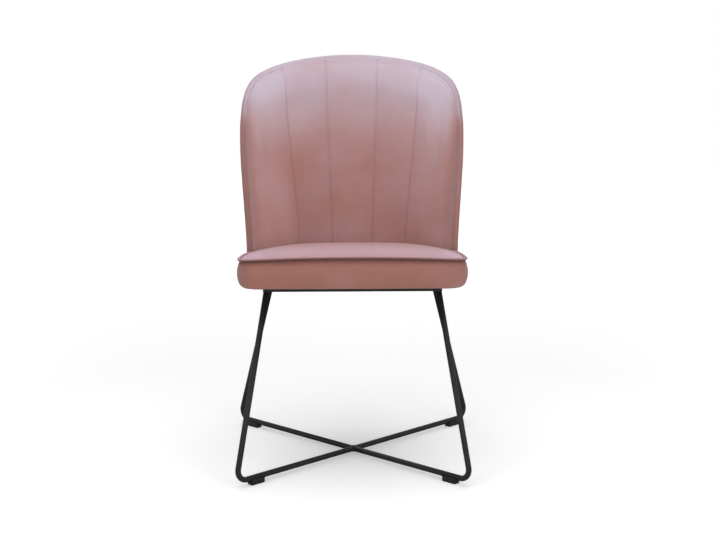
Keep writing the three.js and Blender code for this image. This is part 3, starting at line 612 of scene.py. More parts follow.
@lru_cache(maxsize=None)
def rim_frame(across, up):
    """Point of the rim with its outward and inward directions; the rim runs left wing, arch, right wing."""
    point = back_point(across, up)
    side = math.copysign(1, across)
    rising = Vector((0, 0, 0))
    if abs(across) == 1:
        low, high = max(up - RIM_STEP, 0), min(up + RIM_STEP, 1)
        rising = (back_point(across, high) - back_point(across, low)).normalized() * -side
        if up == 0:
            rising = Vector((0, 0, -side))
    crossing = Vector((0, 0, 0))
    if up == 1:
        low, high = max(across - RIM_STEP, -1), min(across + RIM_STEP, 1)
        crossing = (back_point(high, 1) - back_point(low, 1)).normalized()
    along = (rising + crossing).normalized()
    out = outward(point)
    out = (out - along * out.dot(along)).normalized()
    return point, out, out.cross(along).normalized()


@lru_cache(maxsize=None)
def panel_point(across, up, inset):
    """Place on the outer face, drawn in from the rim by the inset."""
    side = math.copysign(1, across)
    from_wing, from_top = across ** 2, up ** 2
    point = back_point(across, up).copy()
    point += rim_frame(side * 1.0, up)[2] * inset * from_wing
    point += rim_frame(across, 1.0)[2] * inset * from_top
    point -= rim_frame(side * 1.0, 1.0)[2] * inset * from_wing * from_top
    return onto_outer_face(point)


@lru_cache(maxsize=None)
def panel_normal(across, up, inset):
    return outward(panel_point(across, up, inset))


def panel_layer(across, up, depth, inset=RIM_DEPTH + SEWN_GAP):
    return in_place(panel_point(across, up, inset) - panel_normal(across, up, inset) * depth)


# Front pad of the back, with its sewn channels

def swell_share(share):
    """How far the pad has risen at a share of its swelling edge: round, with a soft start."""
    return math.sin(math.pi / 2 * min(share, 1)) * smoothstep(share, 0, PAD_SOFT_START)


def back_thickness(across, up):
    from_side = swell_share((1 - abs(across)) / PAD_SIDE_SWELL_SHARE)
    from_top = swell_share((1 - up) / PAD_TOP_SWELL_SHARE)
    return lerp(RIM_THICKNESS - PAD_EDGE_DIP, BACK_MID_THICKNESS, from_side * from_top)


def channel_rise(across):
    """Rise of a channel over its seams: nought on each seam, and most in the middle."""
    start, end, along = zone_of(abs(across))
    from_middle = 2 * along - 1 if start else along
    crown = WING_CROWN if end == 1 else CHANNEL_CROWN
    return crown * (1 - abs(from_middle) ** CHANNEL_SQUARENESS)


def pad_column(grid_share):
    """Spreads the grid's columns so that they crowd at the seams."""
    column = abs(grid_share) * PAD_COLUMNS / 2
    side = math.copysign(1, grid_share)
    inner, outer = SEAM_PLACES
    first = CHANNEL_COLUMNS / 2
    if column <= first:
        return side * inner * eased(column / first, COLUMN_EASE)
    if column <= first + CHANNEL_COLUMNS:
        place = eased(2 * (column - first) / CHANNEL_COLUMNS - 1, COLUMN_EASE)
        return side * lerp(inner, outer, (place + 1) / 2)
    place = eased(2 * (column - first - CHANNEL_COLUMNS) / WING_COLUMNS - 1, COLUMN_EASE)
    return side * lerp(outer, 1, (place + 1) / 2)


SEWN_FOLD_ANGLE = 50
PAD_HALF_WIDTH = 0.40
PAD_HEIGHT = 0.44
TOUCHING = 1e-5
SEAM_DARKNESS = 0.12
SEAM_GROOVE = 0.0008
SEAM_HALF_WIDTH = 0.0045
GROOVE_CURVE = 2
SEAM_PUCKER = 0.0004
RIM_PUCKER = 0.0007
PUCKER_REACH = 0.009
RIM_PUCKER_REACH = 0.016
PUCKER_CELLS_PER_METRE = 75
SEAM_SALT, RIM_SALT, SEAT_SALT, BAND_SALT = 0, 40, 80, 120
PAD_GATHER_SIDES = (0.12, 0.2)
ROLL_GATHER_SIDES = (0.1, 0.2)
GATHER_HEIGHTS = (0.72, 0.82)

# Middles and spreads of two painted highlights of the back, across its width and up
WING_BAND = (0.75, 0.13)
SHOULDER_X = (0.195, 0.07)
SHOULDER_Z = (0.82, 0.055)

# Painted sheen, highlights, light and shade of the back, as shades from 0 to 1. Pairs are a start and an end,
# or the left and the right wing
FOOT_PILE, TOP_SHEEN_GAIN = 0.1, 0.7
TOP_SHEEN_HEIGHTS = (0.62, 0.90)
WING_BAND_HIGHLIGHTS = (0.1, 0.28)
WING_BAND_HEIGHTS = (0.50, 0.76)
SHOULDER_HIGHLIGHT = 0.3
BACK_LIGHT = 0.1
WING_LIGHTS = (0.66, 0.42)
WING_LIGHT_PLACES = (0.5, 0.7)
WING_LIGHT_HEIGHTS = (0.56, 0.73)
LOW_SIDE_HEIGHTS = (0.718, 0.768)
SIDE_EDGE_REACHES = (0.002, 0.07)
SIDE_EDGE_LOSS_SHARE = 0.85
RIM_LIGHT, RIM_LIGHT_REACH = 0.55, 0.014
ROLL_SHADOW, ROLL_SHADOW_REACH = 0.22, 0.008


def ripple(point, salt):
    """Uneven small folds, from -1 to 1, at a place on the cloth; each salt gives other folds."""
    return 2 * noise.noise(point * PUCKER_CELLS_PER_METRE + Vector((salt, 0, 0)))


def top_corner(point, sides):
    """1 at the back's top corners, where the velvet gathers."""
    return smoothstep(abs(point.x), *sides) * smoothstep(point.z, *GATHER_HEIGHTS)


def of_wing(pair, across):
    return pair[1] if across > 0 else pair[0]


def pile_and_sheen_of_back(point, across=0.0):
    """Lilac share of the back: a painted sheen that grows toward the top, and painted highlights in a soft
    band down each wing and at each shoulder.
    """
    rise = TOP_SHEEN_GAIN * smoothstep(point.z, *TOP_SHEEN_HEIGHTS)
    band = bell(abs(across), *WING_BAND) * smoothstep(point.z, *WING_BAND_HEIGHTS)
    shoulder = bell(abs(point.x), *SHOULDER_X) * bell(point.z, *SHOULDER_Z)
    return FOOT_PILE + rise + band * of_wing(WING_BAND_HIGHLIGHTS, across) + shoulder * SHOULDER_HIGHLIGHT


def brightness_of_back(point, across):
    """Painted light that lifts the low wings, more on the left, where the wings stand in shade."""
    wing = smoothstep(abs(across), *WING_LIGHT_PLACES) * fade(point.z, *WING_LIGHT_HEIGHTS)
    return BACK_LIGHT + wing * of_wing(WING_LIGHTS, across)


def low_side(point):
    """1 down the sides of the back, and 0 from the shoulders up."""
    return fade(point.z, *LOW_SIDE_HEIGHTS)


def side_edge(point, across):
    """1 at the wings' front edges, where painted shade falls, fading out over the wings."""
    return fade((1 - abs(across)) * PAD_HALF_WIDTH, *SIDE_EDGE_REACHES) * low_side(point)


def seam_distances(across, up):
    """Lengths along the pad from a place to the nearest sewn seam and to the rim."""
    to_seam = min(abs(abs(across) - seam) for seam in SEAM_PLACES) * PAD_HALF_WIDTH
    return to_seam, min((1 - abs(across)) * PAD_HALF_WIDTH, (1 - up) * PAD_HEIGHT)


def make_back_pad():
    crown_share = FILLED_CROWN_SHARE

    def front(share, up):
        across = round_share(pad_column(share))
        return panel_layer(across, up, back_thickness(across, up) + crown_share * channel_rise(across))

    def behind(share, up):
        return panel_layer(round_share(pad_column(share)), up, PAD_OUTER_DEPTH)

    bm = thickened(mapped_grid(PAD_COLUMNS, PAD_ROWS, front), behind)
    across_layer, up_layer, front_layer = place_layers(bm)
    place = {v: (pad_column(round_share(v[across_layer])), v[up_layer]) for v in bm.verts}

    def sewn(vert):
        to_seam, to_rim = seam_distances(*place[vert])
        return not vert[front_layer] or to_seam < TOUCHING or to_rim < TOUCHING or place[vert][1] == 0

    filled(bm, sewn, slack=0.001, cap=0.0011)
    bm.normal_update()
    moves = {}
    for vert in bm.verts:
        if vert[front_layer]:
            to_seam, to_rim = seam_distances(*place[vert])
            groove = -SEAM_GROOVE * max(1 - to_seam / SEAM_HALF_WIDTH, 0) ** GROOVE_CURVE
            folds = SEAM_PUCKER * math.exp(-to_seam / PUCKER_REACH) * ripple(vert.co, SEAM_SALT)
            gathers = RIM_PUCKER * math.exp(-to_rim / RIM_PUCKER_REACH) * ripple(vert.co, RIM_SALT)
            moves[vert] = vert.normal * (groove + folds + gathers * top_corner(vert.co, PAD_GATHER_SIDES))
    for vert, move in moves.items():
        vert.co += move

    # Painted sheen and highlights, less at the wings' front edges, where painted shade falls
    def nap(vert):
        across = place[vert][0]
        return pile_and_sheen_of_back(vert.co, across) * (1 - SIDE_EDGE_LOSS_SHARE * side_edge(vert.co, across))

    # Painted light on the low wings, and along the upper rim, where it lifts the shade of the groove beside
    # the roll
    def brightness(vert):
        across = place[vert][0]
        near_rim = fade(seam_distances(*place[vert])[1], 0, RIM_LIGHT_REACH) * (1 - low_side(vert.co))
        inner = brightness_of_back(vert.co, across) * (1 - side_edge(vert.co, across))
        return inner + RIM_LIGHT * near_rim

    # Painted shade along the sewn seams, and beside the roll down the sides
    def seam_shade(vert):
        to_seam, to_rim = seam_distances(*place[vert])
        beside_roll = ROLL_SHADOW * fade(to_rim, 0, ROLL_SHADOW_REACH) * low_side(vert.co)
        return SEAM_DARKNESS * max(1 - to_seam / SEAM_HALF_WIDTH, 0) + beside_roll

    painted(bm, nap=nap, bright=brightness, seam=seam_shade)
    return piece_from(bm, "back_pad_velvet", velvet, 1, SEWN_FOLD_ANGLE)


back_pad = make_back_pad()
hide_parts("back_front_pad")


# Rim roll, rear cover. A turn is the share of the way round the roll from its outer seam to its inner one

# Painted sheen, painted light and painted shade of the roll and the rear cover
ROLL_SHEEN_GAIN, ROLL_LOW_SHEEN = 0.16, 0.05
COVER_EDGE_LOSS, COVER_EDGE_TURN = 0.1, 0.3
ROLL_LIGHT = 0.28
ROLL_LIGHT_TURNS = (0.6, 0.95)
ROLL_SIDE_SHADES = (0.6, 0.38)
ROLL_SIDES = (-0.2, 0.2)
ROLL_SIDE_LOSS_SHARE = 0.4
ROLL_SIDE_TURNS = (0.4, 0.9)
ROLL_CREST_SHADE = 0.5
CREST_START_TURN = 0.16
CREST_END_TURNS = (0.2, 0.5)
CREST_CORNER_TURN = 0.25
CREST_CORNER_SIDES = (0.15, 0.23)
COVER_FOOT_SHARE = 0.1
COVER_TOP_SHEEN = 0.75


def roll_stations():
    """Rim frames from the left wing's foot, over the arch, to the right wing's foot."""
    wing = [round_share(i / ROLL_WING_STATIONS) for i in range(ROLL_WING_STATIONS)]
    arch = [round_share(2 * i / ROLL_ARCH_STATIONS - 1) for i in range(ROLL_ARCH_STATIONS + 1)]
    places = [(-1.0, up) for up in wing] + [(across, 1.0) for across in arch]
    return places + [(1.0, up) for up in reversed(wing)]


def roll_ring(place, turn_share):
    """Point of the D-shaped section: half an ellipse from the outer seam to the inner one."""
    across, up = place
    point, out, _ = rim_frame(across, up)
    inset = RIM_DEPTH
    outer = panel_point(across, up, inset)
    inner = outer - panel_normal(across, up, inset) * RIM_THICKNESS
    middle = (outer + inner) / 2
    reach = point - out * RIM_THICKNESS / 2 - middle
    turn = math.pi * (turn_share - 0.5)
    return middle + (inner - middle) * math.sin(turn) + reach * math.cos(turn)


def make_rim_roll():
    places = roll_stations()
    count = len(places) + 2 * ROLL_FOOT_STATIONS
    ring_steps = ROLL_SECTION_STEPS + ROLL_FLAT_STEPS
    arc_end = ROLL_SECTION_STEPS / ring_steps

    def ring_point(along, around):
        station = round((along + 1) / 2 * (count - 1))
        index = min(max(station - ROLL_FOOT_STATIONS, 0), len(places) - 1)
        below = max(ROLL_FOOT_STATIONS - station, station - ROLL_FOOT_STATIONS - len(places) + 1, 0)
        if around <= arc_end + TOUCHING:
            point = roll_ring(places[index], around / arc_end)
        else:
            back = (around - arc_end) / (1 - arc_end)
            point = roll_ring(places[index], 1).lerp(roll_ring(places[index], 0), back)
        if below:
            point.z = lerp(foot_rail_top, seat_underside, below / ROLL_FOOT_STATIONS)
        return in_place(point)

    bm = mapped_grid(count - 1, ring_steps, ring_point)
    merged(bm)
    ends_closed(bm)
    bm.normal_update()
    for vert in bm.verts:
        gathers = top_corner(vert.co, ROLL_GATHER_SIDES) * ripple(vert.co, RIM_SALT)
        vert.co += vert.normal * RIM_PUCKER / 2 * gathers
    turn = bm.verts.layers.float["up"]

    # Painted sheen: paler over the top, a little less beside the rear cover, little down the sides
    def nap(vert):
        gain = ROLL_SHEEN_GAIN - COVER_EDGE_LOSS * fade(vert[turn], 0, COVER_EDGE_TURN)
        return lerp(pile_and_sheen_of_back(vert.co) + gain, ROLL_LOW_SHEEN, low_side(vert.co))

    # Painted light on the inner half of the roll, over the top
    def brightness(vert):
        return ROLL_LIGHT * (1 - low_side(vert.co)) * smoothstep(vert[turn], *ROLL_LIGHT_TURNS)

    # Painted shade down the sides, more on the left, and a dark painted line along the crest, wider toward
    # the top corners
    def edge_shade(vert):
        side = lerp(*ROLL_SIDE_SHADES, smoothstep(vert.co.x, *ROLL_SIDES))
        side *= 1 - ROLL_SIDE_LOSS_SHARE * smoothstep(vert[turn], *ROLL_SIDE_TURNS)
        corner = CREST_CORNER_TURN * smoothstep(abs(vert.co.x), *CREST_CORNER_SIDES)
        crest = fade(vert[turn], CREST_END_TURNS[0] + corner / 2, CREST_END_TURNS[1] + corner)
        crest *= ROLL_CREST_SHADE * smoothstep(vert[turn], 0, CREST_START_TURN)
        return lerp(crest, side, low_side(vert.co))

    painted(bm, nap=nap, bright=brightness, seam=edge_shade)
    return piece_from(bm, "back_rim_roll_velvet", velvet, 1, SEWN_FOLD_ANGLE)


rim_roll = make_rim_roll()
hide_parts("back_rim_roll")


def make_rear_cover():
    def at_depth(depth):
        def place(across, share):
            up = round_share(max(share - COVER_FOOT_SHARE, 0) / (1 - COVER_FOOT_SHARE))
            point = panel_layer(across, up, depth)
            if share < COVER_FOOT_SHARE:
                point.z = lerp(seat_underside, foot_rail_top, share / COVER_FOOT_SHARE)
            return point
        return place

    bm = thickened(mapped_grid(COVER_COLUMNS, COVER_ROWS, at_depth(0.0)), at_depth(REAR_COVER_THICKNESS))
    # Painted sheen, paler toward the top as on the front
    painted(bm, nap=lambda vert: COVER_TOP_SHEEN * smoothstep(vert.co.z, *TOP_SHEEN_HEIGHTS))
    return piece_from(bm, "back_rear_cover_velvet", velvet, 1, SEWN_FOLD_ANGLE)


rear_cover = make_rear_cover()
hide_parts("back_rear_cover")


# Seat plan

seat_margin = SOFT_GAP + PIPING_RADIUS
seat_side_end = SEAT_HALF_WIDTH - SEAT_SIDE_TAPER
wing_front_depth = back_thickness(WING_FRONT_PLACE, 0) + channel_rise(WING_FRONT_PLACE)
seat_inner_width = WING_BASE_HALF_WIDTH - wing_front_depth - seat_margin
step_radius = (seat_side_end - seat_inner_width) / 2
step_y = WING_SETBACK - seat_margin


def arc_points(centre, radius, start, end, steps):
    turns = [lerp(start, end, i / steps) for i in range(steps + 1)]
    return [Vector((centre[0] + radius * math.cos(t), centre[1] + radius * math.sin(t))) for t in turns]


def front_edge():
    reach = SEAT_HALF_WIDTH - SEAT_CORNER_RADIUS
    shares = [i / FRONT_EDGE_STEPS for i in range(FRONT_EDGE_STEPS)]
    return [Vector((s * reach, SEAT_FRONT_SETBACK + SEAT_FRONT_BOW * s * s)) for s in shares]


def rear_edge():
    points = []
    inset = RIM_DEPTH + REAR_EDGE_MARGIN
    for i in range(REAR_EDGE_STEPS + 1):
        across = round_share(1 - i / REAR_EDGE_STEPS)
        wing = max(across - SEAM_PLACES[1], 0) / (1 - SEAM_PLACES[1])
        depth = back_thickness(across, 0) + lerp(CHANNEL_CROWN, WING_CROWN, wing) + seat_margin
        point = panel_point(across, 0.0, inset) - panel_normal(across, 0.0, inset) * depth
        if point.y > step_y + 2 * step_radius and point.x < seat_inner_width:
            points.append(Vector((point.x, point.y)))
    return points


def right_outline():
    corner_y = SEAT_FRONT_SETBACK + SEAT_FRONT_BOW + SEAT_CORNER_RADIUS
    side_y = step_y - step_radius
    middle_x = seat_side_end - step_radius
    corner = arc_points((SEAT_HALF_WIDTH - SEAT_CORNER_RADIUS, corner_y), SEAT_CORNER_RADIUS,
                        -math.pi / 2, 0, CORNER_STEPS)
    side = [corner[-1].lerp(Vector((seat_side_end, side_y)), i / SIDE_STEPS) for i in range(1, SIDE_STEPS)]
    turn_out = arc_points((middle_x, side_y), step_radius, 0, math.pi / 2, STEP_TURN_STEPS)
    turn_back = arc_points((middle_x, step_y + step_radius), step_radius, 1.5 * math.pi, math.pi,
                           STEP_TURN_STEPS)
    return front_edge() + corner + side + turn_out + turn_back[1:] + rear_edge()


def evenly(points, count):
    """The same line with its points spaced evenly."""
    lengths = running_lengths(points)
    segments = [segment_at(lengths, lengths[-1] * k / count) for k in range(count + 1)]
    return [points[i - 1].lerp(points[i], part) for i, part in segments]


def seat_outline():
    right = evenly(right_outline(), OUTLINE_STEPS // 2)
    left = [Vector((-point.x, point.y)) for point in reversed(right[1:-1])]
    return right + left


def smoothed(points, passes):
    for _ in range(passes):
        count = len(points)
        points = [points[i - 1] / 4 + points[i] / 2 + points[(i + 1) % count] / 4 for i in range(count)]
    return points


seam_line = smoothed(seat_outline(), SEAM_SMOOTHING)
soft_line = smoothed(seam_line, SOFT_SMOOTHING)
seam_count = len(seam_line)
seat_depth = max(point.y for point in seam_line) - SEAT_FRONT_SETBACK
seat_middle = Vector((0, step_y))


def line_normals(line):
    normals = []
    for i in range(len(line)):
        chord = line[(i + 1) % len(line)] - line[i - 1]
        normals.append(Vector((chord.y, -chord.x)).normalized())
    return normals


seam_normals = line_normals(seam_line)


def on_seam(share, line=seam_line):
    """Point of the seam line at a share of its length, from the front's middle anticlockwise."""
    place = (share % 1) * seam_count
    i = int(place) % seam_count
    return line[i].lerp(line[(i + 1) % seam_count], place - int(place))


def seam_normal(share):
    return on_seam(share, seam_normals).normalized()


def seam_height(point):
    """The seam falls to the back and droops to the sides, most at the front corners."""
    back = (point.y - SEAT_FRONT_SETBACK) / seat_depth
    out = abs(point.x) / SEAT_HALF_WIDTH
    droop = lerp(1, SIDE_DROOP_SHARE, smoothstep(point.y, *CORNER_DEPTHS)) * out ** SEAT_CORNER_DROOP_POWER
    return SEAT_SEAM_HEIGHT - SEAT_REAR_DROP * back - SEAT_CORNER_DROOP * droop


# Seat cushion: a square grid laid over the seat's plan, whose corners fall on the front and rear corners

def cushion_place(u, v):
    """Share of the way out to the seam, and the share round it."""
    out = max(abs(u), abs(v))
    if out == 0:
        return 0.0, 0.0
    if out == abs(u) and u > 0:
        around = v / out / 8
    elif out == abs(v) and v > 0:
        around = 1 / 4 - u / out / 8
    elif out == abs(u):
        around = 1 / 2 - v / out / 8
    else:
        around = 3 / 4 + u / out / 8
    return out, (around - 3 / 4) % 1


SEAT_EDGE_IN = 0.55 * PIPING_RADIUS
SOFT_PLAN_POWER = 6
SEWN_FROM = 0.985
SEAT_PUCKER = 0.0005
SEAT_PUCKER_WAY = (0.86, 0.98)
# Painted sheen of the seat top, and painted shade beside the welt and at the rear
SEAT_FRONT_SHEEN, SEAT_SHEEN_DEPTH = 0.61, 0.34
SEAT_CORNER_SHEEN = 0.42
SEAT_CORNER_SIDES = (0.16, 0.22)
SEAT_REAR_SHADE, SEAT_REAR_START = 0.12, 0.1
BESIDE_WELT_SHADE = 0.35


def make_seat_cushion():
    def plan(across, up):
        out, around = cushion_place(across, 2 * up - 1)
        edge = on_seam(around) - seam_normal(around) * SEAT_EDGE_IN
        rim = on_seam(around, soft_line).lerp(edge, out ** SOFT_PLAN_POWER)
        return out, seat_middle + (rim - seat_middle) * out

    def top(across, up):
        out, point = plan(across, up)
        full = SEAT_START_CROWN
        crown = full * max(1 - out ** 2, 0) ** SEAT_CROWN_POWER
        return in_place((point.x, point.y, seam_height(point) + crown))

    def bottom(across, up):
        point = plan(across, up)[1]
        return in_place((point.x, point.y, seam_height(point) - PIPING_RADIUS))

    bm = thickened(mapped_grid(SEAT_GRID_STEPS, SEAT_GRID_STEPS, top), bottom)
    across_layer, up_layer, top_layer = place_layers(bm)
    way_out = {v: max(abs(v[across_layer]), abs(2 * v[up_layer] - 1)) for v in bm.verts}
    filled(bm, lambda vert: not vert[top_layer] or way_out[vert] > SEWN_FROM, slack=0.004, cap=0.003)
    bm.normal_update()
    for vert in bm.verts:
        if vert[top_layer]:
            near_seam = smoothstep(way_out[vert], *SEAT_PUCKER_WAY)
            vert.co.z += SEAT_PUCKER * near_seam * ripple(vert.co, SEAT_SALT)
    front = min(vert.co.y for vert in bm.verts)

    # Painted sheen, most at the front and the front corners, gone toward the rear
    def nap(vert):
        near_front = 1 - clamp((vert.co.y - front) / SEAT_SHEEN_DEPTH)
        corner = smoothstep(abs(vert.co.x), *SEAT_CORNER_SIDES)
        return (SEAT_FRONT_SHEEN + SEAT_CORNER_SHEEN * corner) * near_front

    # Painted shade beside the welt, and toward the rear, where the back shades the seat
    def shade(vert):
        rear = smoothstep(vert.co.y - front, SEAT_REAR_START, SEAT_SHEEN_DEPTH)
        return BESIDE_WELT_SHADE * smoothstep(way_out[vert], SEWN_FROM, 1) + SEAT_REAR_SHADE * rear

    painted(bm, nap=nap, seam=shade)
    return piece_from(bm, "seat_cushion_velvet", seat_velvet, 1)


seat_cushion = make_seat_cushion()
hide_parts("seat_top_cushion")


# Seat band and piping. A climb is the share of the way up the band from its foot to its head

SEWN_CLIMBS = (0.05, 0.96)
BAND_INNER_ROWS = 2
BAND_HEAD_DROP = 0.3 * PIPING_RADIUS
BAND_PUCKER = 0.0005
RIPPLE_STRETCH = 0.8
LOW_RIPPLE, HEAD_RIPPLE_LOSS = 0.3, 1.3
HEAD_RIPPLE_CLIMBS = (0.55, 0.85)
RIPPLE_END_CLIMBS = (0.88, 0.97)
# Painted shade of the band, and the climb up to which its foot is tinted warmer
BAND_SHADE = 0.12
UNDER_WELT_SHADE, UNDER_WELT_CLIMB = 0.72, 0.72
FOOT_SHADE, FOOT_SHADE_CLIMB = 0.25, 0.09
LEFT_CORNER_SHADE = 0.2
LEFT_CORNER_SIDES = (0.19, 0.235)
BAND_FOOT_TINT_CLIMB = 0.6
# Painted highlight on the piping's top, and painted shadow under it
PIPING_HIGHLIGHT, PIPING_SHADE = 0.55, 0.9
PIPING_HIGHLIGHT_RISES = (-0.2, 0.8)
PIPING_SHADE_RISES = (-0.35, 0.6)


def make_seat_band():
    """Boxing round the seat: an outer wall with a rounded foot, and a flat inner wall."""
    outer_rows = BAND_ROWS - BAND_INNER_ROWS
    full_bulge = BAND_START_BULGE

    def wall(across, up):
        share = (across + 1) / 2
        point, normal = on_seam(share), seam_normal(share)
        top = seam_height(point) - BAND_HEAD_DROP
        rise = top - seat_underside
        row = up * BAND_ROWS
        if row > outer_rows:
            z = lerp(top, seat_underside, (row - outer_rows) / BAND_INNER_ROWS)
            out = -BAND_THICKNESS
        else:
            climb = row / outer_rows
            bulge = full_bulge * math.sin(math.pi * climb) - BAND_DRAW_IN
            foot = max(1 - climb * rise / BAND_FOOT_RADIUS, 0)
            out = bulge - BAND_FOOT_RADIUS * (1 - math.sqrt(1 - foot ** 2)) * BAND_FOOT_TURN_SHARE
            z = seat_underside + climb * rise
        spot = point + normal * out
        return in_place((spot.x, spot.y, z))

    bm = mapped_grid(OUTLINE_STEPS, BAND_ROWS, wall)
    merged(bm)
    bmesh.ops.bridge_loops(bm, edges=[edge for edge in bm.edges if edge.is_boundary])
    up_layer = bm.verts.layers.float["up"]
    climb = {v: v[up_layer] * BAND_ROWS / outer_rows for v in bm.verts}
    filled(bm, lambda vert: not SEWN_CLIMBS[0] < climb[vert] < SEWN_CLIMBS[1], slack=0.003, cap=0.003)
    bm.normal_update()
    for vert in bm.verts:
        if climb[vert] <= 1:
            end = 1 - HEAD_RIPPLE_LOSS * smoothstep(climb[vert], *RIPPLE_END_CLIMBS)
            size = LOW_RIPPLE + end * smoothstep(climb[vert], *HEAD_RIPPLE_CLIMBS)
            vert.co += vert.normal * BAND_PUCKER * size * ripple(vert.co * RIPPLE_STRETCH, BAND_SALT)

    # Painted shade all over the band, deep under the welt, at the foot and at the left corner
    def shade(vert):
        under_welt = UNDER_WELT_SHADE * smoothstep(climb[vert], UNDER_WELT_CLIMB, 1)
        foot = FOOT_SHADE * fade(climb[vert], 0, FOOT_SHADE_CLIMB)
        left_corner = LEFT_CORNER_SHADE * smoothstep(-vert.co.x, *LEFT_CORNER_SIDES)
        return BAND_SHADE + under_welt + foot + left_corner

    # The light layer gives the band a warmer tint toward the foot
    painted(bm, bright=lambda vert: fade(climb[vert], 0, BAND_FOOT_TINT_CLIMB), seam=shade)
    return piece_from(bm, "seat_band_velvet", band_velvet, 1)


seat_band = make_seat_band()
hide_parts("seat_side_band")


def make_seat_piping():
    def skin(across, up):
        share = (across + 1) / 2
        point, normal = on_seam(share), seam_normal(share)
        turn = 2 * math.pi * up
        spot = point + normal * PIPING_RADIUS * math.cos(turn)
        return in_place((spot.x, spot.y, seam_height(point) + PIPING_RADIUS * math.sin(turn)))

    bm = mapped_grid(OUTLINE_STEPS, PIPING_SIDES, skin)
    merged(bm)
    up_layer = bm.verts.layers.float["up"]
    rise = {v: math.sin(2 * math.pi * v[up_layer]) for v in bm.verts}
    # Painted highlight on the piping's top, painted shadow on its underside
    painted(bm, nap=lambda vert: PIPING_HIGHLIGHT * smoothstep(rise[vert], *PIPING_HIGHLIGHT_RISES),
            seam=lambda vert: PIPING_SHADE * fade(rise[vert], *PIPING_SHADE_RISES))
    return piece_from(bm, "seat_piping_velvet", seat_velvet, 1)


seat_piping = make_seat_piping()
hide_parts("seat_piping")


# Rod frame

floor_run = Vector((FRONT_CORNER_HALF_SPACING + REAR_CORNER_HALF_SPACING, CORNER_DEPTH_SPACING))
floor_direction = floor_run.normalized()
bar_height = GLIDE_HEIGHT + ROD_RADIUS


def floor_corner(front, side):
    x = FRONT_CORNER_HALF_SPACING if front else REAR_CORNER_HALF_SPACING
    return in_place((side * x, 0 if front else CORNER_DEPTH_SPACING, bar_height))


def leg_head(front, side):
    corner = floor_corner(front, side)
    run = FRONT_LEG_RUN if front else -REAR_LEG_RUN
    x = corner.x - side * abs(run) * floor_direction.x
    return Vector((x, corner.y + run * floor_direction.y, leg_top))


crossing = in_place((0, CORNER_DEPTH_SPACING * FRONT_CORNER_HALF_SPACING / floor_run.x, bar_height))


def bent_line(corners):
    """The line through the corners, with each inner corner rounded to the rod's bend."""
    points = [corners[0]]
    for before, corner, after in zip(corners, corners[1:], corners[2:]):
        back, on = (before - corner).normalized(), (after - corner).normalized()
        half = back.angle(on) / 2
        centre = corner + (back + on).normalized() * ROD_BEND_RADIUS / math.sin(half)
        start = corner + back * ROD_BEND_RADIUS / math.tan(half) - centre
        axis = on.cross(back).normalized()
        for step in range(BEND_STEPS + 1):
            turn = Matrix.Rotation((math.pi - 2 * half) * step / BEND_STEPS, 3, axis)
            points.append(centre + turn @ start)
    return points + [corners[-1]]


def tube(points, radius, sides, closed=False):
    """Round bar along points; radius is a length or a function of the station."""
    count = len(points)
    tangents = []
    for i in range(count):
        near = points[i - 1] if closed or i else points[0]
        far = points[(i + 1) % count] if closed or i < count - 1 else points[-1]
        tangents.append((far - near).normalized())
    start = tangents[0].orthogonal().normalized()
    normals = [start]
    for tangent in tangents[1:]:
        normal = normals[-1] - tangent * normals[-1].dot(tangent)
        normals.append(normal.normalized())
    steps = count if closed else count - 1

    def skin(across, up):
        i = round((across + 1) / 2 * steps) % count
        size = radius(i) if callable(radius) else radius
        turn = 2 * math.pi * up
        side = normals[i] * math.cos(turn) + tangents[i].cross(normals[i]) * math.sin(turn)
        return points[i] + side * size

    bm = mapped_grid(steps, sides, skin)
    merged(bm, FINE_MERGE_DISTANCE)
    if not closed:
        ends_closed(bm)
    return bm


def cut_level(bm, height):
    """Cuts the tops of the legs level under the cross bar."""
    geometry = bm.verts[:] + bm.edges[:] + bm.faces[:]
    bmesh.ops.bisect_plane(bm, geom=geometry, plane_co=(0, 0, height), plane_no=(0, 0, 1), clear_outer=True)
    ends_closed(bm)


def leg_line(front, side):
    head, foot = leg_head(front, side), floor_corner(front, side)
    return [head + (head - foot).normalized() * LEG_OVERRUN, foot]


def make_rod(name, corners):
    bm = tube(bent_line(corners), ROD_RADIUS, ROD_SIDES)
    cut_level(bm, leg_top)
    rod = piece_from(bm, name + "_coated", powder_coat)
    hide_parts(name)


make_rod("frame_rod_through", leg_line(True, -1) + leg_line(False, 1)[::-1])
make_rod("frame_rod_front_half", leg_line(True, 1) + [crossing])
make_rod("frame_rod_rear_half", leg_line(False, -1) + [crossing])


def weld_bead(name, points):
    """Uneven bead of weld along a closed line of points."""
    def size(i):
        return WELD_BEAD_RADIUS * (1 + WELD_UNEVENNESS * noise.noise(points[i] * WELD_RIPPLES_PER_METRE))
    piece_from(tube(points, size, WELD_SIDES, closed=True), name, powder_coat)


def round_bar(around, beside):
    """Offsets round a bar from its axis, with the cosine of each."""
    for i in range(WELD_STEPS):
        turn = 2 * math.pi * i / WELD_STEPS
        yield (beside * math.cos(turn) + around * math.sin(turn)) * ROD_RADIUS, math.cos(turn)


def leg_weld(name, front, side):
    """Bead round the level top of a leg, where it meets the cross bar."""
    head, foot = leg_head(front, side), floor_corner(front, side)
    axis = (head - foot).normalized()
    beside = axis.orthogonal().normalized()
    points = []
    for offset, _ in round_bar(axis.cross(beside), beside):
        point = head + offset
        points.append(point + axis * (leg_top - point.z) / axis.z)
    weld_bead(name, points)


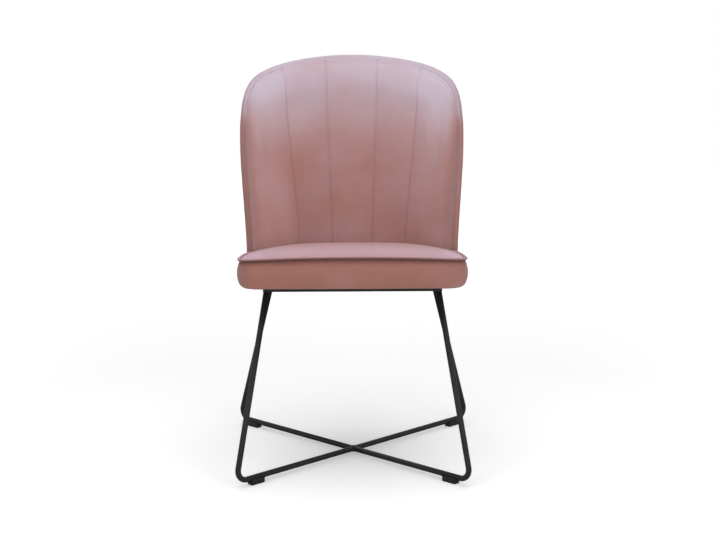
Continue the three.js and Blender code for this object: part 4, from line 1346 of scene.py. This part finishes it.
def crossing_weld(name, way):
    """Saddle bead where a half rod's coped end meets the rod that runs through."""
    through = Vector((floor_direction.x, floor_direction.y, 0))
    half = Vector((floor_direction.x, -floor_direction.y, 0)) * way
    beside, across = half.cross(Vector((0, 0, 1))), through.cross(Vector((0, 0, 1)))
    points = []
    for offset, cosine in round_bar(Vector((0, 0, 1)), beside):
        reach = ROD_RADIUS * (abs(cosine) + cosine * beside.dot(across) * (1 if half.dot(across) < 0 else -1))
        points.append(crossing + offset + half * reach / abs(half.dot(across)))
    weld_bead(name, points)


for where, front, side in (("front_left", True, -1), ("front_right", True, 1),
                           ("rear_left", False, -1), ("rear_right", False, 1)):
    leg_weld("weld_" + where, front, side)
crossing_weld("weld_crossing_front", 1)
crossing_weld("weld_crossing_rear", -1)


FLAT_ANGLE = math.radians(1)
SHARP_ANGLE = math.radians(35)


def finished_copy(node, material, edge):
    """A CAD piece with its sharp edges eased."""
    bm = bmesh.new()
    bm.from_mesh(NODES[node].data)
    merged(bm, FINE_MERGE_DISTANCE)
    bmesh.ops.dissolve_limit(bm, angle_limit=FLAT_ANGLE, verts=bm.verts[:], edges=bm.edges[:])
    sharp = [e for e in bm.edges if e.is_manifold and e.calc_face_angle(0) > SHARP_ANGLE]
    bmesh.ops.bevel(bm, geom=sharp, offset=edge, segments=2, profile=0.5, affect="EDGES", material=-1)
    piece = piece_from(bm, node + "_finished", material)
    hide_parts(node)
    return piece


for node in ("front_cross_bar", "rear_cross_bar", "side_rail_left", "side_rail_right", "rear_tab_left",
             "rear_tab_right", "joining_plate_left", "joining_plate_right"):
    finished_copy(node, powder_coat, STEEL_EDGE)
for node in ("glide_front_left", "glide_front_right", "glide_rear_left", "glide_rear_right"):
    finished_copy(node, nylon, NYLON_EDGE)


foam_block = finished_copy("seat_foam", foam, FOAM_EDGE)


# Dust cover under the seat, stretched and stapled to the board

dust_cover = finished_copy("seat_dust_cover", dust_cloth, CLOTH_EDGE)


def clear_of_hardware(place):
    for name in NODES:
        if name.startswith(("joining_plate", "rear_tab", "side_rail")) or name.endswith("cross_bar"):
            low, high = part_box(name)
            if all(low[axis] - STAPLE_WIDTH < place[axis] < high[axis] + STAPLE_WIDTH for axis in (0, 1)):
                return False
    return True


def make_staples():
    bm = bmesh.new()
    for i in range(STAPLE_COUNT):
        share = i / STAPLE_COUNT
        normal = seam_normal(share)
        point = on_seam(share) - normal * (BAND_THICKNESS + STAPLE_MARGIN)
        place = in_place((point.x, point.y, seat_underside - STAPLE_WIRE / 2))
        if clear_of_hardware(place):
            turn = Matrix.Rotation(math.atan2(normal.y, normal.x), 4, "Z")
            size = Matrix.Diagonal((STAPLE_WIRE, STAPLE_WIDTH, STAPLE_WIRE, 1))
            bmesh.ops.create_cube(bm, size=1, matrix=Matrix.Translation(place) @ turn @ size)
    return piece_from(bm, "dust_cover_staples", zinc)


LEVEL_FROM = 0.9
LEVEL_TOLERANCE = 0.0005


def flat_area(piece, height):
    """Area of the faces that lie level at a height and look up."""
    faces = [face for face in piece.data.polygons if face.normal.z > LEVEL_FROM]
    return sum(face.area for face in faces if abs(face.center.z - height) < LEVEL_TOLERANCE)


staples = make_staples()
cover_low, cover_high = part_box("seat_dust_cover")
flat_area(dust_cover, cover_high.z)


def dress(prefixes, material):
    for name, node in NODES.items():
        if name.startswith(prefixes) and not node.hide_render:
            for place in node.material_slots:
                place.material = material


dress(("seat_bolt", "seat_washer", "seat_nut", "back_bolt", "back_washer", "plate_screw"), zinc)
dress(("seat_board", "back_board", "back_foot_rail"), plywood)


# Floor, lights and camera

FLOOR_HALF_SIZE = 12.0
FLOOR_GLOW_REACHES = (1.0, 4.0)
FLOOR_GLOWS = (0.25, 0.8)
WORLD_STRENGTH = 0.42
PHOTO_WIDTH = 716
FOCAL_LENGTH_PX = 1103
CAMERA_HEIGHT = 0.764
CAMERA_DISTANCE = 2.200
CAMERA_PITCH = 8.23
CAMERA_YAW = 0.29
CAMERA_ROLL = -0.25
GLIDE_LINE = 0.034
SENSOR_WIDTH = 36
CLIP_DISTANCES = (0.05, 60)


def make_floor():
    bm = bmesh.new()
    bmesh.ops.create_grid(bm, x_segments=4, y_segments=4, size=FLOOR_HALF_SIZE)
    mesh = bpy.data.meshes.new("floor")
    bm.to_mesh(mesh)
    bm.free()
    floor = linked("floor", mesh)
    material, tree, shader = new_material("white floor")
    shader.inputs["Base Color"].default_value = (0.9, 0.9, 0.9, 1)
    shader.inputs["Roughness"].default_value = 0.9
    shader.inputs["Specular IOR Level"].default_value = 0.1
    shader.inputs["Emission Color"].default_value = (1, 1, 1, 1)
    path = tree.nodes.new("ShaderNodeLightPath")
    place = tree.nodes.new("ShaderNodeTexCoord")
    length = tree.nodes.new("ShaderNodeVectorMath")
    length.operation = "LENGTH"
    tree.links.new(place.outputs["Object"], length.inputs[0])
    glow = ranged(tree, length.outputs["Value"], *FLOOR_GLOW_REACHES, *FLOOR_GLOWS)
    seen = combined(tree, "MULTIPLY", path.outputs["Is Camera Ray"], glow)
    tree.links.new(seen, shader.inputs["Emission Strength"])
    mesh.materials.append(material)


def make_world():
    world = bpy.data.worlds.new("studio")
    scene.world = world
    world.use_nodes = True
    tree = world.node_tree
    background = tree.nodes["Background"]
    background.inputs["Color"].default_value = (1, 1, 1, 1)
    path = tree.nodes.new("ShaderNodeLightPath")
    seen = combined(tree, "MAXIMUM", path.outputs["Is Camera Ray"], path.outputs["Is Glossy Ray"])
    seen = combined(tree, "MAXIMUM", seen, path.outputs["Is Transmission Ray"])
    strength = ranged(tree, seen, 0, 1, WORLD_STRENGTH, 1.0)
    tree.links.new(strength, background.inputs["Strength"])


def softbox(name, place, target, size, watts):
    lamp = bpy.data.lights.new(name, "AREA")
    lamp.shape = "RECTANGLE"
    lamp.size = lamp.size_y = size
    lamp.energy = watts
    holder = linked(name, lamp)
    holder.location = place
    holder.rotation_euler = (Vector(target) - Vector(place)).to_track_quat("-Z", "Y").to_euler()


def turned(degrees, axis):
    return Matrix.Rotation(math.radians(degrees), 4, axis)


def make_camera():
    data = bpy.data.cameras.new("camera")
    data.sensor_width = SENSOR_WIDTH
    data.lens = FOCAL_LENGTH_PX / PHOTO_WIDTH * SENSOR_WIDTH
    data.clip_start, data.clip_end = CLIP_DISTANCES
    camera = linked("camera", data)
    place = in_place((0, GLIDE_LINE - CAMERA_DISTANCE, CAMERA_HEIGHT))
    aim = turned(-CAMERA_YAW, "Z") @ turned(90 - CAMERA_PITCH, "X") @ turned(CAMERA_ROLL, "Z")
    camera.matrix_world = Matrix.Translation(place) @ aim
    scene.camera = camera


scene.view_settings.view_transform = "Standard"
make_floor()
make_world()
softbox("ceiling", place=(0, -0.2, 2.6), target=(0, 0, 0.5), size=2.4, watts=34)
softbox("front left", place=(-1.6, -2.5, 1.4), target=(0, 0, 0.6), size=1.4, watts=20)
softbox("front right", place=(1.4, -2.6, 1.2), target=(0, 0, 0.6), size=1.4, watts=26)
make_camera()
